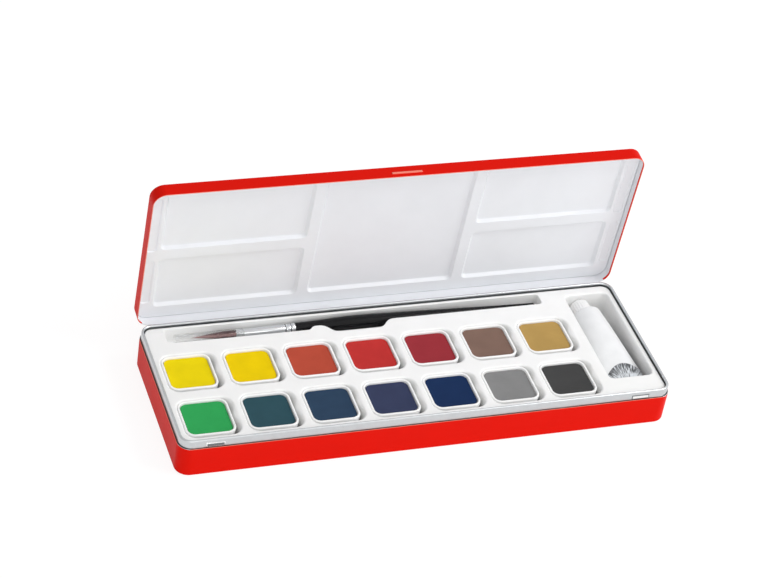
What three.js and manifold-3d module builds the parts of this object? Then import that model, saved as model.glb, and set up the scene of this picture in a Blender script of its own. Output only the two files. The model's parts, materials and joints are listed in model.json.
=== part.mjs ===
// Gouache paint set box: a hinged tin with a palette lid, a moulded tray of fourteen
// square pans, a brush with its clear cap, and a tube of white.
// Millimetres. The origin is the centre of the tin's underside, +X runs along the
// tin, +Y points to the hinge and +Z up. The lid is drawn open.

import * as THREE from 'three';
import { mergeVertices } from 'three/addons/utils/BufferGeometryUtils.js';
import Module from 'manifold-3d';

const wasm = await Module();
wasm.setup();

// Tin
const tinLength = 260;
const tinDepth = 90;
const baseHeight = 17;
const lidHeight = 8;
const cornerRadius = 7;
const tinThickness = 0.4;
const edgeRounding = 0.9;
const lidOpenDegrees = 84;

// Collar inside the base
const collarRise = 4.8;
const collarThickness = 0.4;
const beadWidth = 1.4;
const beadHeight = 1.4;
const beadEasing = 0.35;
const bossWidth = 9.5;
const bossHeight = 2.4;
const bossProud = 0.2;
const bossEndDistance = 18;
const bossLift = 0.4;

// Thumb ridge on the lid's front wall
const ridgeLength = 16;
const ridgeHeight = 1.2;
const ridgeProud = 0.5;
const ridgeFromRim = 2.2;

// Palette sheet in the lid
const paletteThickness = 0.4;
const wellDepth = 1.8;
const wellSlope = 1.3;
const wellCorner = 3;
const centreWellWidth = 80;
const upright = 5;
const crossRib = 6;
const crossRibShift = 2.2;
const wellSideMargin = 7.9;
const wellRearMargin = 7.2;
const wellFrontMargin = 3.9;

// Hinges
const hingeSpacing = 130;
const hingeWidth = 14;
const middleKnuckle = 5.2;
const knuckleRadius = 1.5;
const pinRadius = 0.7;
const leafHeight = 6;
const leafThickness = 0.5;

// Tray
const trayBelowCollar = 1.8;
const trayThickness = 0.9;
const trayEdgeRounding = 0.8;

// Pans and their paint cakes
const panSize = 25.4;
const panHeight = 8;
const panWall = 1.2;
const panDraft = 0.5;
const panCorner = 4.8;
const panGapAcross = 6.4;
const panGapDeep = 8.5;
const panSideMargin = 3;
const panFrontMargin = 4.4;
const panToRecess = 5;
const panToNotch = 4;
const panBelowTray = 0.4;
const cakeBelowRim = 1;
const pocketFlareRight = 2.6;
const pocketFlareFront = 1.4;
const pocketFlareSmall = 0.5;

// Brush
const hairLength = 24;
const hairRadius = 1.7;
const hairRootDepth = 5;
const strandRootBite = 0.2;
const hairStrands = 300;
const strandWidthShare = 0.42;
const hairClosingShare = 0.6;
const outerHairShorterShare = 0.5;
const ferruleLength = 31.5;
const ferruleFrontRadius = 2.1;
const ferruleRearRadius = 2.75;
const ferruleWall = 0.3;
const crimpProud = 0.25;
const crimpWidth = 1.2;
const crimpPitch = 3;
const lastCrimpFromRear = 3;
const handleBellyRadius = 3.75;
const handleBellyFromFerrule = 33;
const handleEndRadius = 1.1;
const handleTenon = 8;
const handleHollowShare = 0.35;
const brushCapLength = 36;
const brushCapInnerRadius = 2.4;
const brushCapWall = 0.35;
const brushCapOverlap = 4;
const brushCapTravel = 5;

// Channel for the brush
const channelBackMargin = 1.3;
const channelLeftMargin = 10;
const channelDepth = 7.9;
const channelCorner = 2;
const channelRightPlay = 2.4;
const channelToRecess = 13.8;
const channelWideLength = 76;
const channelWideExtra = 2.6;
const notchStart = 83;
const notchLength = 35;
const notchExtra = 5.8;
const notchDepth = 5.6;

// Tube of white
const tubeRadius = 8.6;
const tubeFoldWidth = 22.6;
const tubeFoldLength = 3.6;
const tubeFoldThickness = 1.2;
const tubeShoulderLength = 3;
const tubeNeckRadius = 2.8;
const tubeNeckLength = 5.6;
const tubeCapRadius = 5.6;
const tubeCapLength = 7;
const tubeCapWall = 1;
const tubeCapEasing = 0.5;
const recessFrontMargin = 13;
const recessBackMargin = 5.5;
const recessSideMargin = 2.2;
const recessFlare = 0.5;
const recessFloor = 3.9;
const tubeSideGap = 0.6;
const tubeEndGap = 1.3;

// Clearances
const seatGap = 0.3;
const slideGap = 0.4;
const brushGap = 0.25;
const cakeGap = 0.1;
const pinGap = 0.1;
const sleeveGap = 0.05;
const overrun = 1;

// Steps of the round forms
const bigCornerSteps = 5;
const smallCornerSteps = 4;
const edgeSteps = 3;
const handleCurveSteps = 4;
const handleEndSteps = 3;
const tubeBodySteps = 5;
const roundSteps = 16;
const fineRoundSteps = 20;

// Colours and finishes
const redPaint = { color: 0xe31a0e, roughness: 0.35, metalness: 0 };
const bareTin = { color: 0xc4c6c8, roughness: 0.3, metalness: 1 };
const steel = { color: 0x9a9da0, roughness: 0.35, metalness: 1 };
const whiteEnamel = { color: 0xe8eaec, roughness: 0.3, metalness: 0 };
const whitePlastic = { color: 0xf0f0ee, roughness: 0.4, metalness: 0 };
const panPlastic = { color: 0xf6f6f4, roughness: 0.45, metalness: 0 };
const blackLacquer = { color: 0x121214, roughness: 0.2, metalness: 0 };
const ferruleMetal = { color: 0xd8dadc, roughness: 0.2, metalness: 1 };
const brownHair = { color: 0x5c3327, roughness: 0.75, metalness: 0 };
const clearPlastic = { color: 0xeef2f4, roughness: 0.1, metalness: 0, transparent: true, opacity: 0.3 };
const tubeEnamel = { color: 0xeff1f2, roughness: 0.35, metalness: 0 };
const capPlastic = { color: 0xf8f8f8, roughness: 0.4, metalness: 0 };
const cakeColours = [
  [0x32a357, 0x2f4f59, 0x2d425a, 0x373e5a, 0x182e54, 0x858585, 0x444444],
  [0xecd409, 0xeccb01, 0xb64c39, 0xbc3331, 0x983139, 0x7e655a, 0xb39255],
];
const cakeFinish = { roughness: 0.85, metalness: 0 };

// Places worked out from the sizes
const halfLength = tinLength / 2;
const halfDepth = tinDepth / 2;
const innerHalfLength = halfLength - tinThickness;
const innerHalfDepth = halfDepth - tinThickness;
const tinOutline = { x: halfLength, y: halfDepth, r: cornerRadius };
const tinInside = { x: innerHalfLength, y: innerHalfDepth, r: cornerRadius - tinThickness };
const collarHalfLength = innerHalfLength - seatGap;
const collarHalfDepth = innerHalfDepth - seatGap;
const collarTop = baseHeight + collarRise;
const lidRim = baseHeight + seatGap;
const lidTop = lidRim + lidHeight;
const hingeY = halfDepth + seatGap + knuckleRadius;
const hingeZ = baseHeight + seatGap / 2;
const trayHalfLength = collarHalfLength - beadWidth - slideGap;
const trayHalfDepth = collarHalfDepth - beadWidth - slideGap;
const trayTop = collarTop - trayBelowCollar;
const trayBottom = tinThickness + seatGap;
const trayCorner = cornerRadius - tinThickness - seatGap - beadWidth - slideGap;
const panTop = trayTop - panBelowTray;
const panBottom = panTop - panHeight;
const pocketFloor = panBottom - seatGap;
const recessHalfWidth = tubeFoldWidth / 2 + tubeSideGap;
const recessX = trayHalfLength - recessSideMargin - recessFlare - recessHalfWidth;
const recessLeft = recessX - recessHalfWidth - recessFlare;
const recessFront = -trayHalfDepth + recessFrontMargin;
const recessBack = trayHalfDepth - recessBackMargin;
const channelWidth = 2 * (handleBellyRadius + brushGap);
const channelBack = trayHalfDepth - channelBackMargin;
const channelFront = channelBack - channelWidth;
const channelFloor = trayTop - channelDepth;
const channelLeft = -trayHalfLength + channelLeftMargin;
const brushY = (channelBack + channelFront) / 2;
const brushZ = channelFloor + seatGap + handleBellyRadius;
const brushCapLeft = channelLeft + seatGap + brushCapTravel;
const ferruleFront = brushCapLeft + brushCapLength - brushCapOverlap;
const ferruleRear = ferruleFront + ferruleLength;
const channelRight = recessLeft - channelToRecess;
const handleLength = channelRight - channelRightPlay - ferruleRear;
const tubeLength = recessBack - recessFront - 2 * tubeEndGap;
const tubeEnds = tubeFoldLength + tubeShoulderLength + seatGap + tubeCapLength;
const tubeBodyLength = tubeLength - tubeEnds;
const tubeZ = recessFloor + seatGap + tubeRadius;
const tubeTurn = Math.atan2(tubeFoldWidth / 2 - tubeRadius, tubeFoldLength + tubeBodyLength);

// The pans fill what the recess and the channel leave free
const firstPanX = -trayHalfLength + panSideMargin + panSize / 2;
const firstPanY = -trayHalfDepth + panFrontMargin + panSize / 2;
const lastPanX = recessLeft - panToRecess - panSize / 2;
const lastPanY = channelFront - notchExtra - panToNotch - panSize / 2;
const panPitchAcross = panSize + panGapAcross;
const panPitchDeep = panSize + panGapDeep;
const panColumns = 1 + Math.floor((lastPanX - firstPanX) / panPitchAcross);
const panRows = 1 + Math.floor((lastPanY - firstPanY) / panPitchDeep);

const part = new THREE.Group();

// Names a mesh, gives it its own material and puts it in a group.
function addPiece(group, name, geometry, finish) {
  const mesh = new THREE.Mesh(geometry, new THREE.MeshStandardMaterial(finish));
  mesh.name = name;
  group.add(mesh);
  return mesh;
}

// Turns a closed geometry into a solid that can be joined and cut.
function toSolid(geometry) {
  const bare = geometry.clone();
  bare.deleteAttribute('normal');
  bare.deleteAttribute('uv');
  const merged = mergeVertices(bare);
  const mesh = new wasm.Mesh({
    numProp: 3,
    vertProperties: new Float32Array(merged.attributes.position.array),
    triVerts: new Uint32Array(merged.index.array),
  });
  mesh.merge();
  return new wasm.Manifold(mesh);
}

// Turns a solid back into a geometry.
function toGeometry(solid) {
  const mesh = solid.getMesh();
  const geometry = new THREE.BufferGeometry();
  geometry.setAttribute('position', new THREE.BufferAttribute(mesh.vertProperties, mesh.numProp));
  geometry.setIndex(new THREE.BufferAttribute(mesh.triVerts, 1));
  geometry.computeVertexNormals();
  return geometry;
}

// Joins rings of equal point counts into one closed body, with flat ends.
// The rings run counter-clockwise when seen from the last ring's side.
function skinRings(rings) {
  const count = rings[0].length;
  const positions = rings.flat().flatMap((point) => [point.x, point.y, point.z]);
  const index = [];
  for (let ring = 0; ring + 1 < rings.length; ring += 1) {
    for (let step = 0; step < count; step += 1) {
      const next = (step + 1) % count;
      const low = ring * count;
      const high = low + count;
      index.push(low + step, low + next, high + next);
      index.push(low + step, high + next, high + step);
    }
  }
  const last = (rings.length - 1) * count;
  for (let step = 1; step + 1 < count; step += 1) {
    index.push(0, step + 1, step);
    index.push(last, last + step, last + step + 1);
  }
  const geometry = new THREE.BufferGeometry();
  geometry.setAttribute('position', new THREE.Float32BufferAttribute(positions, 3));
  geometry.setIndex(index);
  return geometry;
}

// A rounded rectangle around (x, y) at height z, as points.
function roundedRing(halfX, halfY, radius, z, steps, x = 0, y = 0) {
  const corner = Math.min(radius, halfX, halfY);
  const points = [];
  for (let quarter = 0; quarter < 4; quarter += 1) {
    const signX = quarter === 0 || quarter === 3 ? 1 : -1;
    const signY = quarter < 2 ? 1 : -1;
    for (let step = 0; step <= steps; step += 1) {
      const angle = ((quarter + step / steps) * Math.PI) / 2;
      const pointX = x + signX * (halfX - corner) + corner * Math.cos(angle);
      const pointY = y + signY * (halfY - corner) + corner * Math.sin(angle);
      points.push(new THREE.Vector3(pointX, pointY, z));
    }
  }
  return points;
}

// A closed body through rounded rectangles, each given as half sizes, corner and height.
function stack(levels, steps) {
  const ring = (level) => roundedRing(level.x, level.y, level.r, level.z, steps, level.cx, level.cy);
  return skinRings(levels.map(ring));
}

function box(x0, x1, y0, y1, z0, z1) {
  const geometry = new THREE.BoxGeometry(x1 - x0, y1 - y0, z1 - z0);
  geometry.translate((x0 + x1) / 2, (y0 + y1) / 2, (z0 + z1) / 2);
  return geometry;
}

// A cylinder along X between two places.
function rodAlongX(radius, x0, x1, y, z, steps) {
  const geometry = new THREE.CylinderGeometry(radius, radius, x1 - x0, steps);
  geometry.rotateZ(Math.PI / 2);
  geometry.translate((x0 + x1) / 2, y, z);
  return geometry;
}

// Turns a profile of [along, radius] pairs about the X axis.
function turnedAlongX(profile, steps) {
  const points = profile.map(([along, radius]) => new THREE.Vector2(radius, along));
  const geometry = new THREE.LatheGeometry(points, steps);
  geometry.rotateZ(-Math.PI / 2);
  return geometry;
}

// The levels of a round edge, from a flat face at height z to the wall of an outline.
// side is +1 for an edge below its wall and -1 for one above it.
function edgeLevels(outline, radius, z, side) {
  const levels = [];
  for (let step = 0; step <= edgeSteps; step += 1) {
    const angle = ((step / edgeSteps) * Math.PI) / 2;
    const inset = radius * (1 - Math.sin(angle));
    const away = radius * (1 - Math.cos(angle));
    levels.push({
      x: outline.x - inset,
      y: outline.y - inset,
      r: outline.r - inset,
      z: z + side * away,
    });
  }
  return levels;
}

// Base shell: floor and walls in one drawn sheet, with a round lower edge.
function makeBaseShell() {
  const outside = stack(
    [...edgeLevels(tinOutline, edgeRounding, 0, 1), { ...tinOutline, z: baseHeight }],
    bigCornerSteps,
  );
  const inside = stack(
    [
      ...edgeLevels(tinInside, edgeRounding - tinThickness, tinThickness, 1),
      { ...tinInside, z: baseHeight + overrun },
    ],
    bigCornerSteps,
  );
  return toGeometry(toSolid(outside).subtract(toSolid(inside)));
}

// Collar: a thin wall that stands above the base, curled in at its top edge, with
// two low bosses at the front that hold the lid shut.
function makeCollar() {
  const corner = cornerRadius - tinThickness - seatGap;
  const bottom = tinThickness + seatGap;
  const wallHalfLength = collarHalfLength - collarThickness;
  const wallHalfDepth = collarHalfDepth - collarThickness;
  const beadHalfLength = collarHalfLength - beadWidth;
  const beadHalfDepth = collarHalfDepth - beadWidth;
  const outside = stack(
    [
      { x: collarHalfLength, y: collarHalfDepth, r: corner, z: bottom },
      { x: collarHalfLength, y: collarHalfDepth, r: corner, z: collarTop - beadEasing },
      {
        x: collarHalfLength - beadEasing,
        y: collarHalfDepth - beadEasing,
        r: corner - beadEasing,
        z: collarTop,
      },
    ],
    bigCornerSteps,
  );
  const inside = stack(
    [
      { x: wallHalfLength, y: wallHalfDepth, r: corner - collarThickness, z: 0 },
      { x: wallHalfLength, y: wallHalfDepth, r: corner - collarThickness, z: collarTop - beadHeight },
    ],
    bigCornerSteps,
  );
  const mouth = stack(
    [
      { x: beadHalfLength, y: beadHalfDepth, r: corner - beadWidth, z: 0 },
      { x: beadHalfLength, y: beadHalfDepth, r: corner - beadWidth, z: collarTop + overrun },
    ],
    bigCornerSteps,
  );
  let collar = toSolid(outside).subtract(toSolid(inside)).subtract(toSolid(mouth));
  const bossLow = baseHeight + bossLift;
  for (const side of [-1, 1]) {
    const centre = side * (halfLength - bossEndDistance);
    const face = -collarHalfDepth;
    const boss = box(
      centre - bossWidth / 2,
      centre + bossWidth / 2,
      face - bossProud,
      face + collarThickness / 2,
      bossLow,
      bossLow + bossHeight,
    );
    collar = collar.add(toSolid(boss));
  }
  return toGeometry(collar);
}

// Lid shell, drawn shut: a shallow cap with a thumb ridge on its front wall.
function makeLidShell() {
  const outerEdge = edgeLevels(tinOutline, edgeRounding, lidTop, -1).reverse();
  const innerRadius = edgeRounding - tinThickness;
  const innerEdge = edgeLevels(tinInside, innerRadius, lidTop - tinThickness, -1).reverse();
  const outside = stack([{ ...tinOutline, z: lidRim }, ...outerEdge], bigCornerSteps);
  const inside = stack([{ ...tinInside, z: lidRim - overrun }, ...innerEdge], bigCornerSteps);
  const ridgeLow = lidRim + ridgeFromRim;
  const ridge = box(
    -ridgeLength / 2,
    ridgeLength / 2,
    -halfDepth - ridgeProud,
    -halfDepth + tinThickness / 2,
    ridgeLow,
    ridgeLow + ridgeHeight,
  );
  return toGeometry(toSolid(outside).subtract(toSolid(inside)).add(toSolid(ridge)));
}

// The palette's five wells: a full-height one in the middle and two stacked each side.
function paletteWells() {
  const back = innerHalfDepth - wellRearMargin;
  const front = -innerHalfDepth + wellFrontMargin;
  const middle = (back + front) / 2 + crossRibShift;
  const sideInner = centreWellWidth / 2 + upright;
  const sideOuter = innerHalfLength - wellSideMargin;
  const wells = [{ x0: -centreWellWidth / 2, x1: centreWellWidth / 2, y0: front, y1: back }];
  for (const side of [-1, 1]) {
    const x0 = side < 0 ? -sideOuter : sideInner;
    const x1 = side < 0 ? -sideInner : sideOuter;
    wells.push({ x0, x1, y0: front, y1: middle - crossRib / 2 });
    wells.push({ x0, x1, y0: middle + crossRib / 2, y1: back });
  }
  return wells;
}

// Palette, drawn with the lid shut: one pressed sheet whose wells sink towards the lid.
function makePalette() {
  const wellFloor = lidTop - tinThickness - seatGap;
  const face = wellFloor - paletteThickness - wellDepth;
  const corner = cornerRadius - tinThickness - seatGap;
  const rim = { x: innerHalfLength - seatGap, y: innerHalfDepth - seatGap, r: corner };
  const skirt = {
    x: rim.x - paletteThickness,
    y: rim.y - paletteThickness,
    r: corner - paletteThickness,
  };
  const sheet = stack([{ ...rim, z: face }, { ...rim, z: wellFloor }], bigCornerSteps);
  const above = stack(
    [
      { ...skirt, z: face + paletteThickness },
      { ...skirt, z: wellFloor + overrun },
    ],
    bigCornerSteps,
  );
  const wellBody = (well, grow, lowZ, highZ) => {
    const centre = { cx: (well.x0 + well.x1) / 2, cy: (well.y0 + well.y1) / 2 };
    const wide = { x: (well.x1 - well.x0) / 2 + grow, y: (well.y1 - well.y0) / 2 + grow };
    const slim = { x: wide.x - wellSlope, y: wide.y - wellSlope };
    return toSolid(
      stack(
        [
          { ...wide, ...centre, r: wellCorner + grow, z: lowZ },
          { ...slim, ...centre, r: wellCorner + grow - wellSlope, z: highZ },
        ],
        smallCornerSteps,
      ),
    );
  };
  let palette = toSolid(sheet).subtract(toSolid(above));
  for (const well of paletteWells()) {
    const bump = wellBody(well, paletteThickness, face + paletteThickness / 2, wellFloor);
    palette = palette.add(bump);
  }
  for (const well of paletteWells()) {
    palette = palette.subtract(wellBody(well, 0, face, wellFloor - paletteThickness));
  }
  return toGeometry(palette);
}

// One hinge leaf, drawn with the lid shut. side is +1 for the lid's leaf above the
// pin and -1 for the base's leaf below it.
function makeLeaf(centreX, side, spans) {
  const clearRadius = knuckleRadius + seatGap;
  const plateInner = halfDepth + seatGap;
  const plateOuter = plateInner + leafThickness;
  const left = centreX - hingeWidth / 2;
  const right = centreX + hingeWidth / 2;
  const near = hingeZ + side * clearRadius;
  const far = hingeZ + side * leafHeight;
  const plate = box(left, right, plateInner, plateOuter, Math.min(near, far), Math.max(near, far));
  let leaf = toSolid(plate);
  for (const [x0, x1] of spans) {
    const reach = near + (side * leafThickness) / 2;
    const tongue = box(x0, x1, plateInner, plateOuter, Math.min(hingeZ, reach), Math.max(hingeZ, reach));
    const knuckle = rodAlongX(knuckleRadius, x0, x1, hingeY, hingeZ, roundSteps);
    leaf = leaf.add(toSolid(tongue)).add(toSolid(knuckle));
  }
  const bore = rodAlongX(pinRadius + pinGap, left - overrun, right + overrun, hingeY, hingeZ, roundSteps);
  return toGeometry(leaf.subtract(toSolid(bore)));
}

// Adds one hinge: the base's leaf and pin, and the lid's leaf.
function addHinge(group, lid, name, centreX) {
  const left = centreX - hingeWidth / 2;
  const right = centreX + hingeWidth / 2;
  const middleLeft = centreX - middleKnuckle / 2;
  const middleRight = centreX + middleKnuckle / 2;
  const baseSpans = [
    [left, middleLeft - seatGap],
    [middleRight + seatGap, right],
  ];
  addPiece(group, `base_hinge_leaf_${name}`, makeLeaf(centreX, -1, baseSpans), bareTin);
  addPiece(group, `hinge_pin_${name}`, rodAlongX(pinRadius, left, right, hingeY, hingeZ, roundSteps), steel);
  addPiece(lid, `lid_hinge_leaf_${name}`, makeLeaf(centreX, 1, [[middleLeft, middleRight]]), bareTin);
}

// The tray's pocket for a pan at (x, y): snug below, flared at the top, most of all on
// the right where a fingertip gets under the pan's rim.
function panPocket(x, y, grow, low, high) {
  const snug = panSize / 2 + seatGap + grow;
  const flareX = (pocketFlareRight + pocketFlareSmall) / 2;
  const flareY = (pocketFlareFront + pocketFlareSmall) / 2;
  const shiftX = (pocketFlareRight - pocketFlareSmall) / 2;
  const shiftY = (pocketFlareFront - pocketFlareSmall) / 2;
  const bend = pocketFloor + (panHeight + seatGap) / 2;
  const wideLevel = {
    x: snug + flareX,
    y: snug + flareY,
    r: panCorner + flareX,
    cx: x + shiftX,
    cy: y - shiftY,
  };
  const levels = [
    { x: snug, y: snug, r: panCorner, cx: x, cy: y, z: low },
    { x: snug, y: snug, r: panCorner, cx: x, cy: y, z: bend },
    { ...wideLevel, z: trayTop },
  ];
  if (high > trayTop) {
    levels.push({ ...wideLevel, z: high });
  }
  return toSolid(stack(levels, smallCornerSteps));
}

function panPlaces() {
  const places = [];
  for (let row = 0; row < panRows; row += 1) {
    for (let column = 0; column < panColumns; column += 1) {
      const x = firstPanX + column * panPitchAcross;
      const y = firstPanY + row * panPitchDeep;
      places.push({ row, column, x, y, number: row * panColumns + column + 1 });
    }
  }
  return places;
}

// The brush's channel with its wide end and its finger notch. grow fattens it for the
// trough's outside.
function channelBody(grow, top) {
  const trough = (x0, x1, y0, depth) => {
    const floor = trayTop - depth - grow;
    const level = {
      x: (x1 - x0) / 2 + grow,
      y: (channelBack - y0) / 2 + grow,
      r: channelCorner + grow,
      cx: (x0 + x1) / 2,
      cy: (channelBack + y0) / 2,
    };
    return toSolid(stack([{ ...level, z: floor }, { ...level, z: top }], smallCornerSteps));
  };
  const notchLeft = channelLeft + notchStart;
  return trough(channelLeft, channelRight, channelFront, channelDepth)
    .add(trough(channelLeft, channelLeft + channelWideLength, channelFront - channelWideExtra, channelDepth))
    .add(trough(notchLeft, notchLeft + notchLength, channelFront - notchExtra, notchDepth));
}

// The tube's recess. grow fattens it for the trough's outside.
function recessBody(grow, top) {
  const low = { x: recessHalfWidth + grow, y: (recessBack - recessFront) / 2 + grow };
  const centre = { cx: recessX, cy: (recessFront + recessBack) / 2 };
  const corner = tubeSideGap + tubeFoldThickness + grow;
  return toSolid(
    stack(
      [
        { ...low, ...centre, r: corner, z: recessFloor - grow },
        { x: low.x + recessFlare, y: low.y + recessFlare, ...centre, r: corner + recessFlare, z: top },
      ],
      smallCornerSteps,
    ),
  );
}

// Tray: a thin moulding with a skirt to the tin's floor, open below between its pockets.
function makeTray() {
  const outside = stack(
    [
      { x: trayHalfLength, y: trayHalfDepth, r: trayCorner, z: trayBottom },
      { x: trayHalfLength, y: trayHalfDepth, r: trayCorner, z: trayTop - trayEdgeRounding },
      {
        x: trayHalfLength - trayEdgeRounding,
        y: trayHalfDepth - trayEdgeRounding,
        r: trayCorner - trayEdgeRounding,
        z: trayTop,
      },
    ],
    bigCornerSteps,
  );
  const skirtHalf = { x: trayHalfLength - trayThickness, y: trayHalfDepth - trayThickness };
  const underside = trayTop - trayEdgeRounding - trayThickness;
  const below = stack(
    [
      { ...skirtHalf, r: trayCorner - trayThickness, z: 0 },
      { ...skirtHalf, r: trayCorner - trayThickness, z: underside },
    ],
    bigCornerSteps,
  );
  const places = panPlaces();
  const floor = pocketFloor - trayThickness;
  let kept = channelBody(trayThickness, trayTop).add(recessBody(trayThickness, trayTop));
  for (const { x, y } of places) {
    kept = kept.add(panPocket(x, y, trayThickness, floor, trayTop));
  }
  let tray = toSolid(outside).subtract(toSolid(below).subtract(kept));
  tray = tray.subtract(channelBody(0, trayTop + overrun));
  tray = tray.subtract(recessBody(0, trayTop + overrun));
  for (const { x, y } of places) {
    tray = tray.subtract(panPocket(x, y, 0, pocketFloor, trayTop + overrun));
  }
  return toGeometry(tray);
}

// A pan, with its origin under its centre: a drafted square cup.
function makePan() {
  const top = panSize / 2;
  const bottom = top - panDraft;
  const outside = stack(
    [
      { x: bottom, y: bottom, r: panCorner - panDraft, z: 0 },
      { x: top, y: top, r: panCorner, z: panHeight },
    ],
    smallCornerSteps,
  );
  const inside = stack(
    [
      { x: bottom - panWall, y: bottom - panWall, r: panCorner - panWall, z: panWall },
      { x: top - panWall, y: top - panWall, r: panCorner - panWall, z: panHeight },
    ],
    smallCornerSteps,
  );
  return toGeometry(toSolid(outside).subtract(toSolid(inside)));
}

// The paint cake that fills a pan to just below its rim.
function makeCake() {
  const bottom = panSize / 2 - panDraft - panWall - cakeGap;
  const inner = panHeight - panWall;
  const riseShare = (inner - cakeBelowRim) / inner;
  const top = bottom + panDraft * riseShare;
  const corner = panCorner - panWall;
  return stack(
    [
      { x: bottom, y: bottom, r: corner, z: panWall + cakeGap },
      { x: top, y: top, r: corner, z: panHeight - cakeBelowRim },
    ],
    smallCornerSteps,
  );
}

// Adds the pans with their cakes, numbered from the front left.
function addPans(group) {
  for (const { row, column, x, y, number } of panPlaces()) {
    const place = new THREE.Group();
    place.position.set(x, y, panBottom);
    group.add(place);
    addPiece(place, `pan_${number}`, makePan(), panPlastic);
    const rowColours = cakeColours[row % cakeColours.length];
    const finish = { ...cakeFinish, color: rowColours[column % rowColours.length] };
    addPiece(place, `cake_${number}`, makeCake(), finish);
  }
}

// The handle, with x counted from the ferrule's rear edge. It swells to its belly and
// then runs out in a long straight taper to a rounded end.
function makeHandle() {
  const tenonRadius = ferruleRearRadius - ferruleWall - sleeveGap;
  const profile = [
    [-handleTenon, 0],
    [-handleTenon, tenonRadius],
    [sleeveGap, tenonRadius],
    [sleeveGap, ferruleRearRadius],
  ];
  for (let step = 1; step <= handleCurveSteps; step += 1) {
    const share = step / handleCurveSteps;
    const swell = (1 - Math.cos(share * Math.PI)) / 2;
    const radius = ferruleRearRadius + (handleBellyRadius - ferruleRearRadius) * swell;
    profile.push([share * handleBellyFromFerrule, radius]);
  }
  const taper = handleLength - handleBellyFromFerrule;
  for (let step = 1; step <= handleCurveSteps; step += 1) {
    const share = step / handleCurveSteps;
    const easedShare = share * share * (3 - 2 * share);
    const fall = share + (easedShare - share) * handleHollowShare;
    const radius = handleBellyRadius + (handleEndRadius - handleBellyRadius) * fall;
    profile.push([handleBellyFromFerrule + share * (taper - handleEndRadius), radius]);
  }
  for (let step = 1; step < handleEndSteps; step += 1) {
    const angle = ((step / handleEndSteps) * Math.PI) / 2;
    const along = handleLength - handleEndRadius * (1 - Math.sin(angle));
    profile.push([along, handleEndRadius * Math.cos(angle)]);
  }
  profile.push([handleLength, 0]);
  return turnedAlongX(profile, roundSteps);
}

// The ferrule, with x counted from its front edge: a tapered sleeve with two crimps.
function makeFerrule() {
  const slope = (ferruleRearRadius - ferruleFrontRadius) / ferruleLength;
  const outer = (x) => ferruleFrontRadius + slope * x;
  const lastCrimp = ferruleLength - lastCrimpFromRear;
  const profile = [[0, outer(0)]];
  for (const start of [lastCrimp - crimpPitch, lastCrimp]) {
    const middle = start + crimpWidth / 2;
    const end = start + crimpWidth;
    profile.push([start, outer(start)]);
    profile.push([middle, outer(middle) + crimpProud]);
    profile.push([end, outer(end)]);
  }
  profile.push([ferruleLength, outer(ferruleLength)]);
  profile.push([ferruleLength, outer(ferruleLength) - ferruleWall]);
  profile.push([ferruleLength - handleTenon - overrun, outer(ferruleLength) - ferruleWall]);
  profile.push([hairRootDepth + overrun, outer(0) - ferruleWall]);
  profile.push([0, outer(0) - ferruleWall]);
  profile.push([0, outer(0)]);
  return turnedAlongX(profile, roundSteps);
}

// The places of the strands in the ferrule's mouth: a six-sided grid kept in a circle.
function strandPlaces() {
  const pitch = hairRadius * Math.sqrt((2 * Math.PI) / (Math.sqrt(3) * hairStrands));
  const rows = Math.ceil(hairRadius / pitch) + 1;
  const places = [];
  for (let row = -rows; row <= rows; row += 1) {
    for (let column = -rows; column <= rows; column += 1) {
      const y = (column + (row % 2) / 2) * pitch;
      const z = (row * pitch * Math.sqrt(3)) / 2;
      const distance = Math.hypot(y, z);
      places.push({ y, z, distance });
    }
  }
  places.sort((a, b) => a.distance - b.distance);
  return { pitch, places: places.slice(0, hairStrands) };
}

// The hair, with x counted from the ferrule's front edge and the strands running to -x.
// The strands draw together towards the point and the outer ones are shorter.
function makeHair() {
  const { pitch, places } = strandPlaces();
  const strandRadius = pitch * strandWidthShare;
  const positions = [];
  const index = [];
  const reach = places[places.length - 1].distance;
  for (const { y, z, distance } of places) {
    const edgeShare = distance / reach;
    const length = hairLength * (1 - outerHairShorterShare * edgeShare * edgeShare);
    const first = positions.length / 3;
    for (const along of [-strandRootBite, length]) {
      const scale = 1 - (hairClosingShare * along) / hairLength;
      for (let corner = 0; corner < 3; corner += 1) {
        const angle = (corner * 2 * Math.PI) / 3;
        positions.push(-along);
        positions.push(scale * (y + strandRadius * Math.cos(angle)));
        positions.push(scale * (z + strandRadius * Math.sin(angle)));
      }
    }
    for (let corner = 0; corner < 3; corner += 1) {
      const next = (corner + 1) % 3;
      index.push(first + corner, first + 3 + corner, first + 3 + next);
      index.push(first + corner, first + 3 + next, first + next);
    }
    index.push(first, first + 1, first + 2);
    index.push(first + 3, first + 5, first + 4);
  }
  const strands = new THREE.BufferGeometry();
  strands.setAttribute('position', new THREE.Float32BufferAttribute(positions, 3));
  strands.setIndex(index);
  const rootRadius = ferruleFrontRadius - ferruleWall - sleeveGap;
  const root = rodAlongX(rootRadius, 0, hairRootDepth, 0, 0, roundSteps);
  return toGeometry(toSolid(root).add(toSolid(strands)));
}

// The clear sleeve over the hair, with x counted from its left end.
function makeBrushCap() {
  const outer = brushCapInnerRadius + brushCapWall;
  const profile = [
    [0, brushCapInnerRadius],
    [0, outer],
    [brushCapLength, outer],
    [brushCapLength, brushCapInnerRadius],
    [0, brushCapInnerRadius],
  ];
  return turnedAlongX(profile, roundSteps);
}

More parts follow.
